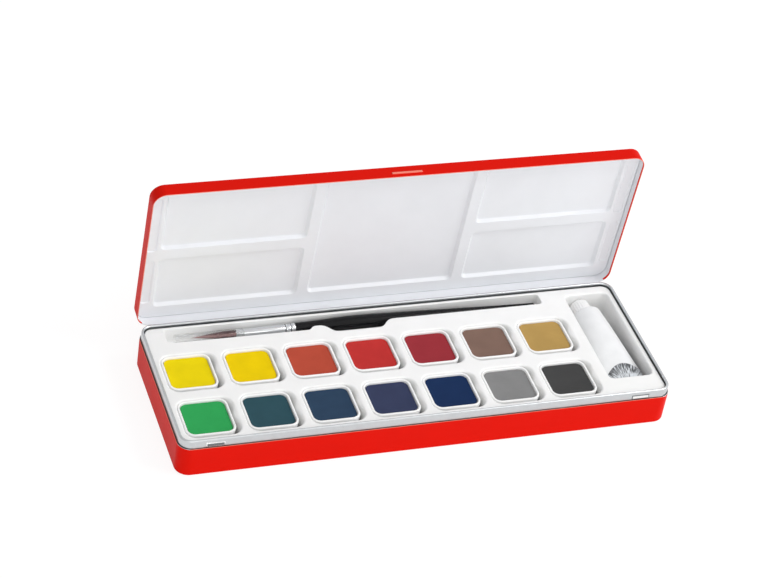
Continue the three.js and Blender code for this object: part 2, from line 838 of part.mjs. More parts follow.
// Adds the brush and its cap, lying along the channel.
function addBrush(group) {
  const brush = new THREE.Group();
  brush.position.set(ferruleFront, brushY, brushZ);
  group.add(brush);
  addPiece(brush, 'brush_hair', makeHair(), brownHair);
  addPiece(brush, 'brush_ferrule', makeFerrule(), ferruleMetal);
  const handle = addPiece(brush, 'brush_handle', makeHandle(), blackLacquer);
  handle.position.x = ferruleLength;
  const cap = addPiece(brush, 'brush_cap', makeBrushCap(), clearPlastic);
  cap.position.x = brushCapLeft - ferruleFront;
}

// One cross-section of the tube at y: an oval with half sizes across and up.
function ovalRing(y, across, up, steps) {
  const points = [];
  for (let step = 0; step < steps; step += 1) {
    const angle = (-step * 2 * Math.PI) / steps;
    points.push(new THREE.Vector3(across * Math.cos(angle), y, up * Math.sin(angle)));
  }
  return points;
}

// The tube, with y counted from its folded end: a folded flat end that rounds out to
// the full tube, then a shoulder and a neck.
function makeTube() {
  const shoulderStart = tubeFoldLength + tubeBodyLength;
  const neckStart = shoulderStart + tubeShoulderLength;
  const rings = [
    ovalRing(0, tubeFoldWidth / 2, tubeFoldThickness / 2, fineRoundSteps),
    ovalRing(tubeFoldLength, tubeFoldWidth / 2, tubeFoldThickness / 2, fineRoundSteps),
  ];
  for (let step = 1; step <= tubeBodySteps; step += 1) {
    const share = step / tubeBodySteps;
    const across = tubeFoldWidth / 2 + (tubeRadius - tubeFoldWidth / 2) * share;
    const fullness = Math.sin((share * Math.PI) / 2);
    const up = tubeFoldThickness / 2 + (tubeRadius - tubeFoldThickness / 2) * fullness;
    rings.push(ovalRing(tubeFoldLength + share * tubeBodyLength, across, up, fineRoundSteps));
  }
  rings.push(ovalRing(neckStart, tubeNeckRadius, tubeNeckRadius, fineRoundSteps));
  rings.push(ovalRing(neckStart + tubeNeckLength, tubeNeckRadius, tubeNeckRadius, fineRoundSteps));
  return skinRings(rings);
}

// The tube's screw cap, with y counted from its open end: a ribless round cap.
function makeTubeCap() {
  const boreRadius = tubeNeckRadius + seatGap;
  const boreDepth = tubeCapLength - tubeCapWall;
  const profile = [
    new THREE.Vector2(boreRadius, 0),
    new THREE.Vector2(tubeCapRadius, 0),
    new THREE.Vector2(tubeCapRadius, tubeCapLength - tubeCapEasing),
    new THREE.Vector2(tubeCapRadius - tubeCapEasing, tubeCapLength),
    new THREE.Vector2(0, tubeCapLength),
    new THREE.Vector2(0, boreDepth),
    new THREE.Vector2(boreRadius, boreDepth),
    new THREE.Vector2(boreRadius, 0),
  ];
  return new THREE.LatheGeometry(profile, roundSteps);
}

// Adds the tube of white, turned so that its tapering left side lies along its recess.
function addTube(group) {
  const tube = new THREE.Group();
  tube.position.set(recessX, recessFront + tubeEndGap, tubeZ);
  tube.rotation.z = tubeTurn;
  group.add(tube);
  addPiece(tube, 'tube_body', makeTube(), tubeEnamel);
  const cap = addPiece(tube, 'tube_cap', makeTubeCap(), capPlastic);
  cap.position.y = tubeFoldLength + tubeBodyLength + tubeShoulderLength + seatGap;
}

// The lid and what turns with it: drawn shut, then swung open about the hinge pins.
const lid = new THREE.Group();
const lidTurn = new THREE.Group();
lidTurn.position.set(0, hingeY, hingeZ);
lidTurn.rotation.x = -THREE.MathUtils.degToRad(lidOpenDegrees);
lid.position.set(0, -hingeY, -hingeZ);
lidTurn.add(lid);
part.add(lidTurn);

addPiece(part, 'base_shell', makeBaseShell(), redPaint);
addPiece(part, 'collar', makeCollar(), bareTin);
addPiece(lid, 'lid_shell', makeLidShell(), redPaint);
addPiece(lid, 'lid_palette', makePalette(), whiteEnamel);
addHinge(part, lid, 'left', -hingeSpacing / 2);
addHinge(part, lid, 'right', hingeSpacing / 2);
addPiece(part, 'tray', makeTray(), whitePlastic);
addPans(part);
addBrush(part);
addTube(part);

export default part;
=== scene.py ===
"""Gouache paint set box: a red tin with its palette lid, tray, pans, brush and tube of white.

The mesh code works in millimetres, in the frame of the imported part, and each piece is
brought to metres when it is finished. The lid's pieces are drawn with the lid shut and
then swung open about the hinge pins.
"""

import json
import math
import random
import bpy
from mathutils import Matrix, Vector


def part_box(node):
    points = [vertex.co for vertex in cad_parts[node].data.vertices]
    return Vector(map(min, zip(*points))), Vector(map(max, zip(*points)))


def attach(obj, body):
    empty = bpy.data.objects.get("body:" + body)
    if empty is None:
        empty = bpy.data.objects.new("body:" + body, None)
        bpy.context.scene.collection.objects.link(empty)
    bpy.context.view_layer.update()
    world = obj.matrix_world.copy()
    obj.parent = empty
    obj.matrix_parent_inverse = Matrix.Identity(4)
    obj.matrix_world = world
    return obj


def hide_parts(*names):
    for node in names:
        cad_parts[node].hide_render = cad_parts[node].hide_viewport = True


bl_info = {
    "name": "Gouache Paint Set Box",
    "version": (1, 0, 0),
    "blender": (4, 5, 0),
    "location": "3D View > Sidebar > Paint Box",
    "description": "Builds a hinged paint tin with pans, a brush and a tube of white",
    "category": "Add Mesh",
}

from types import SimpleNamespace

import bmesh
import bpy
from bmesh.types import BMEdge, BMFace, BMVert
from bpy.props import FloatProperty, FloatVectorProperty, IntProperty, PointerProperty
from mathutils import Matrix, Vector

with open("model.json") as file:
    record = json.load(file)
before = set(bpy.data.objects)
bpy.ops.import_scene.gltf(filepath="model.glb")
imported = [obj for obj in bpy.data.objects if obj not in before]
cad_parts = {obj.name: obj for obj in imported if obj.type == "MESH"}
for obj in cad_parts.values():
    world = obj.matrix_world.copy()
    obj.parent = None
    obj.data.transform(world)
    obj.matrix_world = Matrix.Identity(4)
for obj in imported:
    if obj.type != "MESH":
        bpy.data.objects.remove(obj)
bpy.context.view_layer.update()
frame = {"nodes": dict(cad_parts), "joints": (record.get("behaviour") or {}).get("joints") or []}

MM = 0.001
QUARTER = math.pi / 2
SAME_PLACE = 0.001  # millimetres; closer points are one point
ON_PLANE = 0.0001  # millimetres; closer points lie on a cutting plane
SEAT = 0.3  # millimetres that the collar and the palette stand in from the tin's metal
CREASE = 0.02  # millimetres of upright step round the foot of a pressed panel
PAST_OUTSIDE = 0.75  # share of the metal's thickness beyond which a face is an inner one
INNER_DRAFT = 0.7  # share of a pan's outer draft that its inside has
LATHE_STEPS = 48
ROUND_THE_WALL = (0.05, 0.05, 1)  # streaks that run along a wall
ALONG_THE_TIN = (0.05, 1, 1)
ROUND_THE_FERRULE = (1, 0.1, 0.1)
PAN_NUMBERS = range(1, 15)

lid_hinge = next(joint for joint in frame["joints"] if joint["name"] == "lid_hinge")
HINGE = Vector(lid_hinge["pos_m"]) / MM
LID_SWING = math.radians(lid_hinge["range_deg"][0])
LID_OPEN = (
    Matrix.Translation(HINGE)
    @ Matrix.Rotation(LID_SWING, 4, "X")
    @ Matrix.Translation(-HINGE)
)


def node_box(name):
    """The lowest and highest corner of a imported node, in millimetres."""
    low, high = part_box(name)
    return low / MM, high / MM


def shut_box(name):
    """The same for a node of the lid, as it lies when the lid is shut."""
    to_shut = LID_OPEN.inverted()
    corners = [to_shut @ (vertex.co / MM) for vertex in frame["nodes"][name].data.vertices]
    low = Vector(min(corner[axis] for corner in corners) for axis in range(3))
    high = Vector(max(corner[axis] for corner in corners) for axis in range(3))
    return low, high


def linear(text):
    """Turns an sRGB hex colour into the linear values that Blender keeps."""
    values = [int(text[start:start + 2], 16) / 255 for start in (1, 3, 5)]
    return [v / 12.92 if v <= 0.04045 else ((v + 0.055) / 1.055) ** 2.4 for v in values]


def length(name, description, default):
    """A length property, whose default is given in millimetres."""
    return FloatProperty(
        name=name, description=description, default=default * MM, min=0, precision=5, unit="LENGTH"
    )


def angle(name, description, default):
    """An angle property, whose default is given in degrees."""
    return FloatProperty(
        name=name, description=description, default=math.radians(default), subtype="ANGLE"
    )


def colour(name, description, default):
    """A colour property, whose default is given as sRGB hex."""
    return FloatVectorProperty(
        name=name, description=description, default=linear(default),
        min=0, max=1, size=3, subtype="COLOR",
    )


class PAINTBOX_PG_tin(bpy.types.PropertyGroup):
    """Sizes and colours of the tin, its collar, the lid's palette and the hinges."""

    corner_radius: length("Corner radius", "Radius of the tin's four upright corners", 7)
    metal: length("Metal", "Thickness of the tinplate", 0.4)
    edge_rounding: length("Edge rounding", "Radius of the drawn edge round floor and lid", 0.9)
    bead: length("Bead", "Diameter of the collar's curled top edge", 1.4)
    lip: length("Well lip", "Radius of the soft edge round each palette well", 0.6)
    well_slope: length("Well slope", "Width of the sloping side of each palette well", 1.3)
    well_corner: length("Well corner", "Corner radius of the palette wells", 3)
    hem: length("Hem", "How far the lid's red paint goes up the inside from its rim", 1.1)
    hem_step: length("Hem step", "How far the hem stands in from the lid's inside", 0.08)
    red: colour("Red", "Enamel on the outside of the tin", "#DB1406")
    # a pale red that is a painted highlight on the rims and on the thumb ridge
    highlight_red: colour("Highlight red", "Painted highlight on the red enamel of rims and the thumb ridge", "#EE8472")
    white: colour("White", "Enamel on the inside of the lid", "#E9EBEF")
    bare: colour("Bare tin", "Tinplate of the collar and the inside of the base", "#C9CCCE")
    # painted reflections on the collar's bosses: a bright one here and a dark one below
    polished: colour("Bright reflection tin", "Bright painted reflection on a boss's tinplate", "#F2F3F3")
    dull: colour("Dull tin", "Dark painted reflection on a boss's tinplate", "#74787B")
    wire: colour("Hinge steel", "Steel of the hinge pins", "#9A9DA0")


class PAINTBOX_PG_tray(bpy.types.PropertyGroup):
    """Sizes and colours of the tray, the pans and the paint cakes."""

    wall: length("Wall", "Thickness of the tray's moulding", 0.9)
    edge_rounding: length("Edge rounding", "Radius of the tray's outer top edge", 0.4)
    edge_play: length("Edge play", "How far the moulding fills its clearance in the collar", 0.2)
    lip: length("Lip", "Radius of the soft edge round each hollow", 1.2)
    play: length("Play", "Clearance round each pan", 0.05)
    bump: length("Pocket bump", "How far each pocket's right wall swells towards its pan", 1.1)
    pan_corner: length("Pan corner", "Corner radius of the pans", 4.8)
    pan_wall: length("Pan wall", "Thickness of the pans' walls", 1.2)
    pan_draft: length("Pan draft", "How much narrower a pan is at its foot, on each side", 0.5)
    pan_rim: length("Pan rim", "Rounding of the pans' rims", 0.5)
    cake_gap: length("Cake gap", "Crack that drying leaves between a cake and its pan", 0.25)
    cake_hollow: length("Cake hollow", "How far a cake's middle lies below its edge", 0.3)
    tray_white: colour("Tray white", "Polystyrene of the tray", "#F4F4F3")
    pan_white: colour("Pan white", "Polypropylene of the pans", "#F8F8F7")


class PAINTBOX_PG_brush(bpy.types.PropertyGroup):
    """Sizes and colours of the brush and its sleeve."""

    hair_radius: length("Hair radius", "Radius of the tuft where it leaves the ferrule", 1.75)
    hair_belly: length("Hair belly", "Extra radius of the tuft at its widest place", 0.25)
    strand_radius: length("Strand radius", "Radius of a single hair at its root", 0.085)
    hair_root: length("Hair root", "How far the hair reaches into the ferrule", 0.6)
    strands: IntProperty(
        name="Strands", description="Number of hairs", default=380, min=50, max=1000
    )
    sleeve_wall: length("Sleeve wall", "Thickness of the clear sleeve", 0.35)
    hair_dark: colour("Hair, dark", "Colour of the hair in the tuft's depth", "#4A2E2F")
    hair_light: colour("Hair, light", "Colour of the hair that catches the light", "#AE8A88")
    lacquer: colour("Lacquer", "Black lacquer of the handle", "#0C0C0E")
    # a dark grey that paints shade in the ferrule's crimps
    tarnish: colour("Tarnish", "Painted shade in the ferrule's crimps", "#4A4C50")
    nickel: colour("Nickel", "Plated brass of the ferrule", "#DCDEE0")
    sleeve: colour("Sleeve", "Clear plastic of the sleeve", "#F4F7F8")


class PAINTBOX_PG_tube(bpy.types.PropertyGroup):
    """Sizes and colours of the tube of white and its cap."""

    fold_length: length("Fold", "Length of the flat folded end", 3.6)
    fold_width: length("Fold width", "Width of the folded end", 22.6)
    fold_thickness: length("Fold thickness", "Thickness of the folded end", 1.2)
    shoulder_length: length("Shoulder", "Length of the cone between the body and the neck", 3)
    neck_length: length("Neck", "Length of the threaded neck", 5.6)
    radius: length("Radius", "Radius of the round part", 8.6)
    neck_radius: length("Neck radius", "Radius of the neck", 2.8)
    bare_length: length("Bare end", "From the tube's end to the top of its fan of bare metal", 13.3)
    bare_side: length("Bare fan's place", "From the tube's middle right to the fan's top", 2)
    crease_depth: length("Crease depth", "How deep the creases at the folded end are", 0.28)
    white: colour("White", "Lacquer of the tube", "#EBECED")
    metal: colour("Aluminium", "Bare metal of the folded end", "#B4B7BB")
    cap_white: colour("Cap white", "Plastic of the screw cap", "#F8F8F8")


class PAINTBOX_PG_stage(bpy.types.PropertyGroup):
    """The camera and the background."""

    azimuth: angle("Azimuth", "Direction of the camera round the box", -23.779)
    elevation: angle("Elevation", "Height of the camera above the horizon", 37.990)
    roll: angle("Roll", "Tilt of the camera about its own axis", 9.836)
    distance: length("Distance", "From the camera to the point that it looks at", 1346.5)
    focal_length: FloatProperty(
        name="Focal length", description="Lens for a sensor 36 mm wide", default=117.08,
        subtype="DISTANCE_CAMERA",
    )
    backdrop: colour("Backdrop", "Floor and background", "#FFFFFF")


SETTINGS = {
    "paintbox_tin": PAINTBOX_PG_tin,
    "paintbox_tray": PAINTBOX_PG_tray,
    "paintbox_brush": PAINTBOX_PG_brush,
    "paintbox_tube": PAINTBOX_PG_tube,
    "paintbox_stage": PAINTBOX_PG_stage,
}


def sizes_of(settings):
    """The lengths of a group of settings in millimetres, and its other values as they are."""
    values = {key: getattr(settings, key) for key in type(settings).__annotations__}
    return SimpleNamespace(**{
        key: value / MM if isinstance(value, float) else value for key, value in values.items()
    })


# Mesh tools


def pick(geometry, kind):
    """The vertices, the edges or the faces in what a mesh operator returns."""
    return [item for item in geometry if isinstance(item, kind)]


def square(side):
    """The same length along X and along Y."""
    return Vector((side, side))


def rounded_face(bm, low, high, z, radius, steps):
    """Adds a flat rounded rectangle between two corners at height z, facing up."""
    corners = bmesh.ops.create_grid(bm, x_segments=1, y_segments=1, size=0.5)["verts"]
    bmesh.ops.scale(bm, vec=(high[0] - low[0], high[1] - low[1], 1), verts=corners)
    centre = ((low[0] + high[0]) / 2, (low[1] + high[1]) / 2, z)
    bmesh.ops.translate(bm, vec=centre, verts=corners)
    return round_corners(bm, corners, radius, steps)


def round_corners(bm, corners, radius, steps):
    """Rounds corners of a flat face and returns the new face."""
    made = bmesh.ops.bevel(
        bm, geom=corners, offset=radius, segments=steps, profile=0.5, affect="VERTICES", material=-1
    )
    return made["verts"][0].link_faces[0]


def copy_face(bm, face):
    """A copy of a face, with edges and vertices of its own."""
    return pick(bmesh.ops.duplicate(bm, geom=[face])["geom"], BMFace)[0]


def cut_face(bm, face, point, normal):
    """Cuts a face along a plane and returns its parts."""
    cut = bmesh.ops.bisect_plane(
        bm, geom=[face, *face.edges, *face.verts], dist=ON_PLANE, plane_co=point, plane_no=normal
    )
    return pick(cut["geom"], BMFace)


def fit_face(bm, face, low, high):
    """Stretches and moves a face so that it fills the space between two corners."""
    old_low = Vector(min(vertex.co[axis] for vertex in face.verts) for axis in range(2))
    old_high = Vector(max(vertex.co[axis] for vertex in face.verts) for axis in range(2))
    old, new, middle = old_high - old_low, high - low, (old_low + old_high) / 2
    bmesh.ops.scale(
        bm, vec=(new.x / old.x, new.y / old.y, 1), space=Matrix.Translation(-middle.to_3d()),
        verts=face.verts[:],
    )
    bmesh.ops.translate(bm, vec=((low + high) / 2 - middle).to_3d(), verts=face.verts[:])


def sink(bm, face, inward, down):
    """Steps a face inward and down against its own normal, leaving a strip behind."""
    bm.normal_update()
    bmesh.ops.inset_region(
        bm, faces=[face], thickness=inward, depth=-down, use_boundary=True, use_even_offset=True
    )


def sink_bend(bm, face, radius, start, end, steps, side=1):
    """Sinks a face round a bend, whose slope turns from one angle to another.

    An edge that rolls over goes from 0 to QUARTER and a foot that levels out goes from
    QUARTER to 0. The face shrinks where side is 1, and grows where it is -1.
    """
    for step in range(steps):
        slopes = [start + (end - start) * count / steps for count in (step, step + 1)]
        inward = abs(math.sin(slopes[1]) - math.sin(slopes[0]))
        down = abs(math.cos(slopes[1]) - math.cos(slopes[0]))
        sink(bm, face, side * radius * inward, radius * down)


def arc(centre, radius, start, end, steps, up=1):
    """Points of an arc in a profile, with its angles in quarter turns.

    Where up is -1 the arc is drawn upside down.
    """
    points = []
    for step in range(steps + 1):
        turn = QUARTER * (start + (end - start) * step / steps)
        x, y = radius * math.cos(turn), up * radius * math.sin(turn)
        points.append((centre[0] + x, centre[1] + y))
    return points


def wire(bm, points, closed):
    """Adds a chain of edges through points."""
    verts = [bm.verts.new(point) for point in points]
    edges = [bm.edges.new(pair) for pair in zip(verts, verts[1:])]
    if closed:
        edges.append(bm.edges.new((verts[-1], verts[0])))
    return edges


def drag(bm, edges, move):
    """Extrudes edges along a vector and returns the new ones."""
    made = bmesh.ops.extrude_edge_only(bm, edges=edges)["geom"]
    bmesh.ops.translate(bm, vec=move, verts=pick(made, BMVert))
    return pick(made, BMEdge)


def sweep_round_wall(bm, profile, half, radius, closed=True):
    """Sweeps a profile of (outward, height) points round a rounded rectangle.

    half holds the half length and depth of the outline that outward is counted from.
    """
    corner_steps = 12
    x, y = half[0] - radius, half[1] - radius
    edges = wire(bm, [(-x, -half[1] - outward, height) for outward, height in profile], closed)
    for travel, corner in (
        ((2 * x, 0, 0), (x, -y, 0)), ((0, 2 * y, 0), (x, y, 0)),
        ((-2 * x, 0, 0), (-x, y, 0)), ((0, -2 * y, 0), (-x, -y, 0)),
    ):
        edges = drag(bm, edges, travel)
        ends = list({vertex for edge in edges for vertex in edge.verts})
        made = bmesh.ops.spin(
            bm, geom=ends + edges, cent=corner, axis=(0, 0, 1), angle=QUARTER, steps=corner_steps
        )
        edges = pick(made["geom_last"], BMEdge)
    bmesh.ops.remove_doubles(bm, verts=bm.verts, dist=SAME_PLACE)


def close_loop(bm, height):
    """Closes the open edges at a height with one face."""
    rim = [
        edge for edge in bm.edges
        if edge.is_boundary and abs(edge.verts[0].co.z - height) < SAME_PLACE
    ]
    bmesh.ops.edgeloop_fill(bm, edges=rim)


def turn_on_lathe(profile, axis, closed):
    """Turns a profile of (place, radius) points about a line along X, into a body without seams."""
    bm = bmesh.new()
    edges = wire(bm, [(x, axis.y, axis.z + radius) for x, radius in profile], closed)
    verts = list({vertex for edge in edges for vertex in edge.verts})
    bmesh.ops.spin(
        bm, geom=verts + edges, cent=axis, axis=(1, 0, 0), angle=2 * math.pi, steps=LATHE_STEPS,
        use_merge=True,
    )
    bmesh.ops.remove_doubles(bm, verts=bm.verts, dist=SAME_PLACE)
    return bm


def press_front_wall(bm, wall, centre, width, foot, height, moves):
    """Presses a soft panel outward from the flat front wall, which stands at Y = -wall.

    moves holds pairs of inward and outward moves. Returns the panel's crown and its sides.
    """
    low = Vector((centre - width / 2, -wall, foot))
    high = Vector((centre + width / 2, -wall, foot + height))
    middle = (low + high) / 2

    def away(face):
        """How far the panel's middle lies outside a face's own box."""
        distance = 0
        for axis in range(3):
            values = [vertex.co[axis] for vertex in face.verts]
            distance += max(0, min(values) - middle[axis], middle[axis] - max(values))
        return distance

    panel = min((face for face in bm.faces if face.normal.y < -0.99), key=away)
    for corner, normal in (
        (low, (-1, 0, 0)), (high, (1, 0, 0)), (low, (0, 0, -1)), (high, (0, 0, 1))
    ):
        panel = min(cut_face(bm, panel, corner, normal), key=away)
    before = set(bm.faces)
    for inward, outward in moves:
        sink(bm, panel, inward, -outward)
    return panel, [face for face in bm.faces if face not in before]


def paint_faces(bm, test, index):
    """Gives the faces that a test picks another of the piece's materials."""
    bm.normal_update()
    for face in bm.faces:
        if test(face.calc_center_median(), face.normal):
            face.material_index = index


def finish_piece(bm, name, materials, body, nodes, sharp=35):
    """Turns a mesh into a piece that rides on a body and stands for its nodes."""
    bmesh.ops.recalc_face_normals(bm, faces=bm.faces)
    bmesh.ops.scale(bm, vec=(MM, MM, MM), verts=bm.verts)
    for face in bm.faces:
        face.smooth = True
    for edge in bm.edges:
        if edge.is_manifold and edge.calc_face_angle() > math.radians(sharp):
            edge.smooth = False
    mesh = bpy.data.meshes.new(name)
    bm.to_mesh(mesh)
    bm.free()
    piece = bpy.data.objects.new(name, mesh)
    bpy.context.scene.collection.objects.link(piece)
    for material in materials:
        mesh.materials.append(material)
    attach(piece, body)
    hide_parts(*nodes)
    return piece


def weigh_normals(piece):
    """Keeps large flat faces flat where they meet small round ones."""
    weigh = piece.modifiers.new("Flat faces", "WEIGHTED_NORMAL")
    weigh.keep_sharp = True


def dress_node(name, material):
    """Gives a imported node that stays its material."""
    mesh = frame["nodes"][name].data
    mesh.materials.clear()
    mesh.materials.append(material)


# Finishes


def set_sockets(tree, node, sockets):
    """Gives a node's sockets their values, and a link where the value is another socket."""
    for key, value in sockets.items():
        if isinstance(value, bpy.types.NodeSocket):
            tree.links.new(value, node.inputs[key])
        else:
            node.inputs[key].default_value = value


def add_node(tree, kind, sockets=None, stops=(), **settings):
    """Adds a node with its settings, its colour stops, its socket values and the links into it."""
    node = tree.nodes.new(kind)
    for key, value in settings.items():
        setattr(node, key, value)
    if stops:
        elements = node.color_ramp.elements
        while len(elements) < len(stops):
            elements.new(0.5)
        for element, (place, value) in zip(elements, stops):
            element.position = place
            element.color = (*value, 1)
    set_sockets(tree, node, sockets or {})
    return node


def shades(value, *stops):
    """Colour stops from pairs of a place and how much lighter or darker the colour is there."""
    return [(place, [min(1, channel * factor) for channel in value]) for place, factor in stops]


def start_material(name):
    """A new material and its node tree."""
    material = bpy.data.materials.new(name)
    material.use_nodes = True
    return material, material.node_tree


def grain(tree, size, detail=3, stretch=(1, 1, 1)):
    """A noise pattern on object coordinates, with the size of its features in millimetres."""
    place = add_node(tree, "ShaderNodeTexCoord").outputs["Object"]
    scale = [part / (size * MM) for part in stretch]
    spread = add_node(tree, "ShaderNodeMapping", {"Scale": scale, "Vector": place})
    noise = add_node(
        tree, "ShaderNodeTexNoise",
        {"Scale": 1, "Detail": detail, "Vector": spread.outputs["Vector"]},
    )
    return noise.outputs["Fac"]


def own_axes(tree, place, turn):
    """A piece's own X, Y and Z in millimetres, counted from a place and along turned axes."""
    spot = add_node(tree, "ShaderNodeTexCoord").outputs["Object"]
    own = add_node(
        tree, "ShaderNodeMapping",
        {"Location": place * MM, "Rotation": turn, "Scale": (MM, MM, MM), "Vector": spot},
        vector_type="TEXTURE",
    )
    return add_node(tree, "ShaderNodeSeparateXYZ", {"Vector": own.outputs["Vector"]}).outputs


def coat(tree, constants, tone=None, gloss=None, relief=()):
    """Sets the shader's constants, and its colour, gloss and relief from patterns.

    tone is a pattern with its colour stops, gloss a pattern with its lowest and highest
    roughness, and relief lists patterns with a strength and a depth in millimetres.
    """
    sockets = dict(constants)
    if tone:
        pattern, stops = tone
        ramp = add_node(tree, "ShaderNodeValToRGB", {"Fac": pattern}, stops)
        sockets["Base Color"] = ramp.outputs["Color"]
    if gloss:
        pattern, least, most = gloss
        level = {"To Min": least, "To Max": most, "Value": pattern}
        sockets["Roughness"] = add_node(tree, "ShaderNodeMapRange", level).outputs["Result"]
    for pattern, strength, depth in relief:
        bump = {"Strength": strength, "Distance": depth * MM, "Height": pattern}
        if "Normal" in sockets:
            bump["Normal"] = sockets["Normal"]
        sockets["Normal"] = add_node(tree, "ShaderNodeBump", bump).outputs["Normal"]
    set_sockets(tree, tree.nodes["Principled BSDF"], sockets)


def enamel_material(name, value, roughness, gloss_level):
    """Stoved enamel on tinplate.

    The eye sees one even colour under a satin gloss, a little cloudy where the film is
    thinner, with the slight waviness that paint has after baking.
    """
    material, tree = start_material(name)
    cloud = grain(tree, 14)
    coat(
        tree, {"IOR": 1.5, "Specular IOR Level": gloss_level},
        tone=(cloud, shades(value, (0.3, 0.985), (0.7, 1.01))),
        gloss=(cloud, roughness - 0.04, roughness + 0.04),
        relief=[(grain(tree, 1.6, 1), 0.3, 0.015)],
    )
    return material


def tinplate_material(name, value, roughness, stretch):
    """Bright drawn tinplate.

    Rolling lines run along the strip: they streak the reflection, and the tin's faint
    crystals make it patchy. Real lines are a few hundredths of a millimetre apart and would
    not show, so they are drawn a quarter of a millimetre apart.
    """
    material, tree = start_material(name)
    streaks = grain(tree, 0.25, 2, stretch)
    coat(
        tree, {"Metallic": 1},
        tone=(grain(tree, 3, 2), shades(value, (0.3, 0.97), (0.7, 1.03))),
        gloss=(streaks, roughness - 0.07, roughness + 0.07),
        relief=[(streaks, 0.3, 0.01)],
    )
    return material


def moulding_material(name, value, roughness, softness, painted_shade=()):
    """White moulded plastic: polystyrene for the tray, polypropylene for pans and cap.

    Light sinks in a little and comes back out, so edges and thin lips look soft. The
    highlight shows the texture of the mould, which is drawn half a millimetre coarse because
    a real one of a tenth would not show. Painted shade greys the moulding in its depths:
    painted_shade lists its fades as axis, start, end and strength before and after.
    """
    material, tree = start_material(name)
    stops = shades(value, (0.3, 0.985), (0.7, 1.01))
    look = add_node(tree, "ShaderNodeValToRGB", {"Fac": grain(tree, 9)}, stops).outputs["Color"]
    # painted shade: the colour darkens in the moulding's depths
    if painted_shade:
        axes = own_axes(tree, Vector((0, 0, 0)), (0, 0, 0))
        amount = None
        for axis, start, end, before, after in painted_shade:
            fade = add_node(tree, "ShaderNodeMapRange", {
                "From Min": start, "From Max": end, "To Min": before, "To Max": after,
                "Value": axes[axis],
            }).outputs[0]
            if amount:
                fade = add_node(
                    tree, "ShaderNodeMath", {0: amount, 1: fade}, operation="MULTIPLY"
                ).outputs[0]
            amount = fade
        look = add_node(
            tree, "ShaderNodeMix", {"Factor": amount, 6: look, 7: (0, 0, 0, 1)}, data_type="RGBA"
        ).outputs[2]
    coat(
        tree,
        {
            "IOR": 1.55, "Subsurface Weight": softness, "Subsurface Scale": 1 * MM,
            "Subsurface Radius": (1, 0.95, 0.9), "Base Color": look,
        },
        gloss=(grain(tree, 4), roughness - 0.05, roughness + 0.05),
        relief=[(grain(tree, 0.5, 2), 0.25, 0.02)],
    )
    return material


def gouache_material(name, value):
    """Cast gouache: pigment and gum dried hard in the pan.

    It is dead matt, a little uneven in strength, with shallow sink marks from drying. Its
    powdery grain is drawn a third of a millimetre coarse, because finer grains would not show.
    """
    material, tree = start_material(name)
    cloud, powder = grain(tree, 8, 4), grain(tree, 0.35, 2)
    patchy = add_node(
        tree, "ShaderNodeMath", {0: powder, 1: 0.35, 2: cloud}, operation="MULTIPLY_ADD"
    ).outputs["Value"]
    coat(
        tree, {"Roughness": 0.82, "IOR": 1.45, "Specular IOR Level": 0.1},
        tone=(patchy, shades(value, (0.45, 0.94), (0.95, 1.05))),
        relief=[(cloud, 0.4, 0.15), (powder, 0.45, 0.04)],
    )
    return material


def lacquer_material(value):
    """Black nitro lacquer over turned wood: deep and smooth, with the faintest long grain."""
    material, tree = start_material("Black lacquer on wood")
    fibres = grain(tree, 0.9, 2, (0.04, 1, 1))
    coat(
        tree, {"IOR": 1.5, "Specular IOR Level": 0.22, "Roughness": 0.16},
        tone=(fibres, shades(value, (0.3, 0.9), (0.75, 1.3))),
        relief=[(fibres, 0.1, 0.01)],
    )
    return material


def hair_material(dark, light, axis):
    """Brown brush hair: each hair is a slightly different brown.

    The hairs' streaks are drawn 0.16 mm wide, twice as coarse as real ones, so that they show.
    A pinkish painted highlight runs along the tuft's upper front, between two flanks of painted
    shade.
    """
    highlight_tilt, highlight_middle, highlight_half_width, shade_start = math.radians(-36), -0.15, 0.35, 1.2
    material, tree = start_material("Brown brush hair")
    single_hairs = grain(tree, 0.16, 2, (0.06, 1, 1))
    up = own_axes(tree, axis, (highlight_tilt, 0, 0))["Z"]
    from_highlight = add_node(
        tree, "ShaderNodeMath", {0: up, 1: highlight_middle}, operation="SUBTRACT"
    ).outputs[0]
    away = add_node(tree, "ShaderNodeMath", {0: from_highlight}, operation="ABSOLUTE").outputs[0]
    # painted highlight along the stripe, painted shade on the flanks
    shift = add_node(tree, "ShaderNodeMapRange", {
        "From Min": highlight_half_width, "From Max": shade_start, "To Min": 0.15, "To Max": -0.2,
        "Value": away,
    }).outputs[0]
    lit = add_node(
        tree, "ShaderNodeMath", {0: single_hairs, 1: shift}, operation="ADD"
    ).outputs[0]
    coat(
        tree, {"Roughness": 0.5, "Sheen Weight": 0.3, "Sheen Roughness": 0.4},
        tone=(lit, [(0.35, dark), (0.65, light)]),
    )
    return material


def sleeve_material(value):
    """Clear extruded tube: nearly invisible but for the gloss along it and its grey edges.

    It is so thin that much of the light goes straight through, which its alpha stands for.
    """
    material, tree = start_material("Clear sleeve plastic")
    constants = {
        "Alpha": 0.12, "Base Color": (*value, 1), "Transmission Weight": 1, "IOR": 1.49,
    }
    coat(tree, constants, gloss=(grain(tree, 0.3, 1, (0.03, 1, 1)), 0.02, 0.12))
    return material


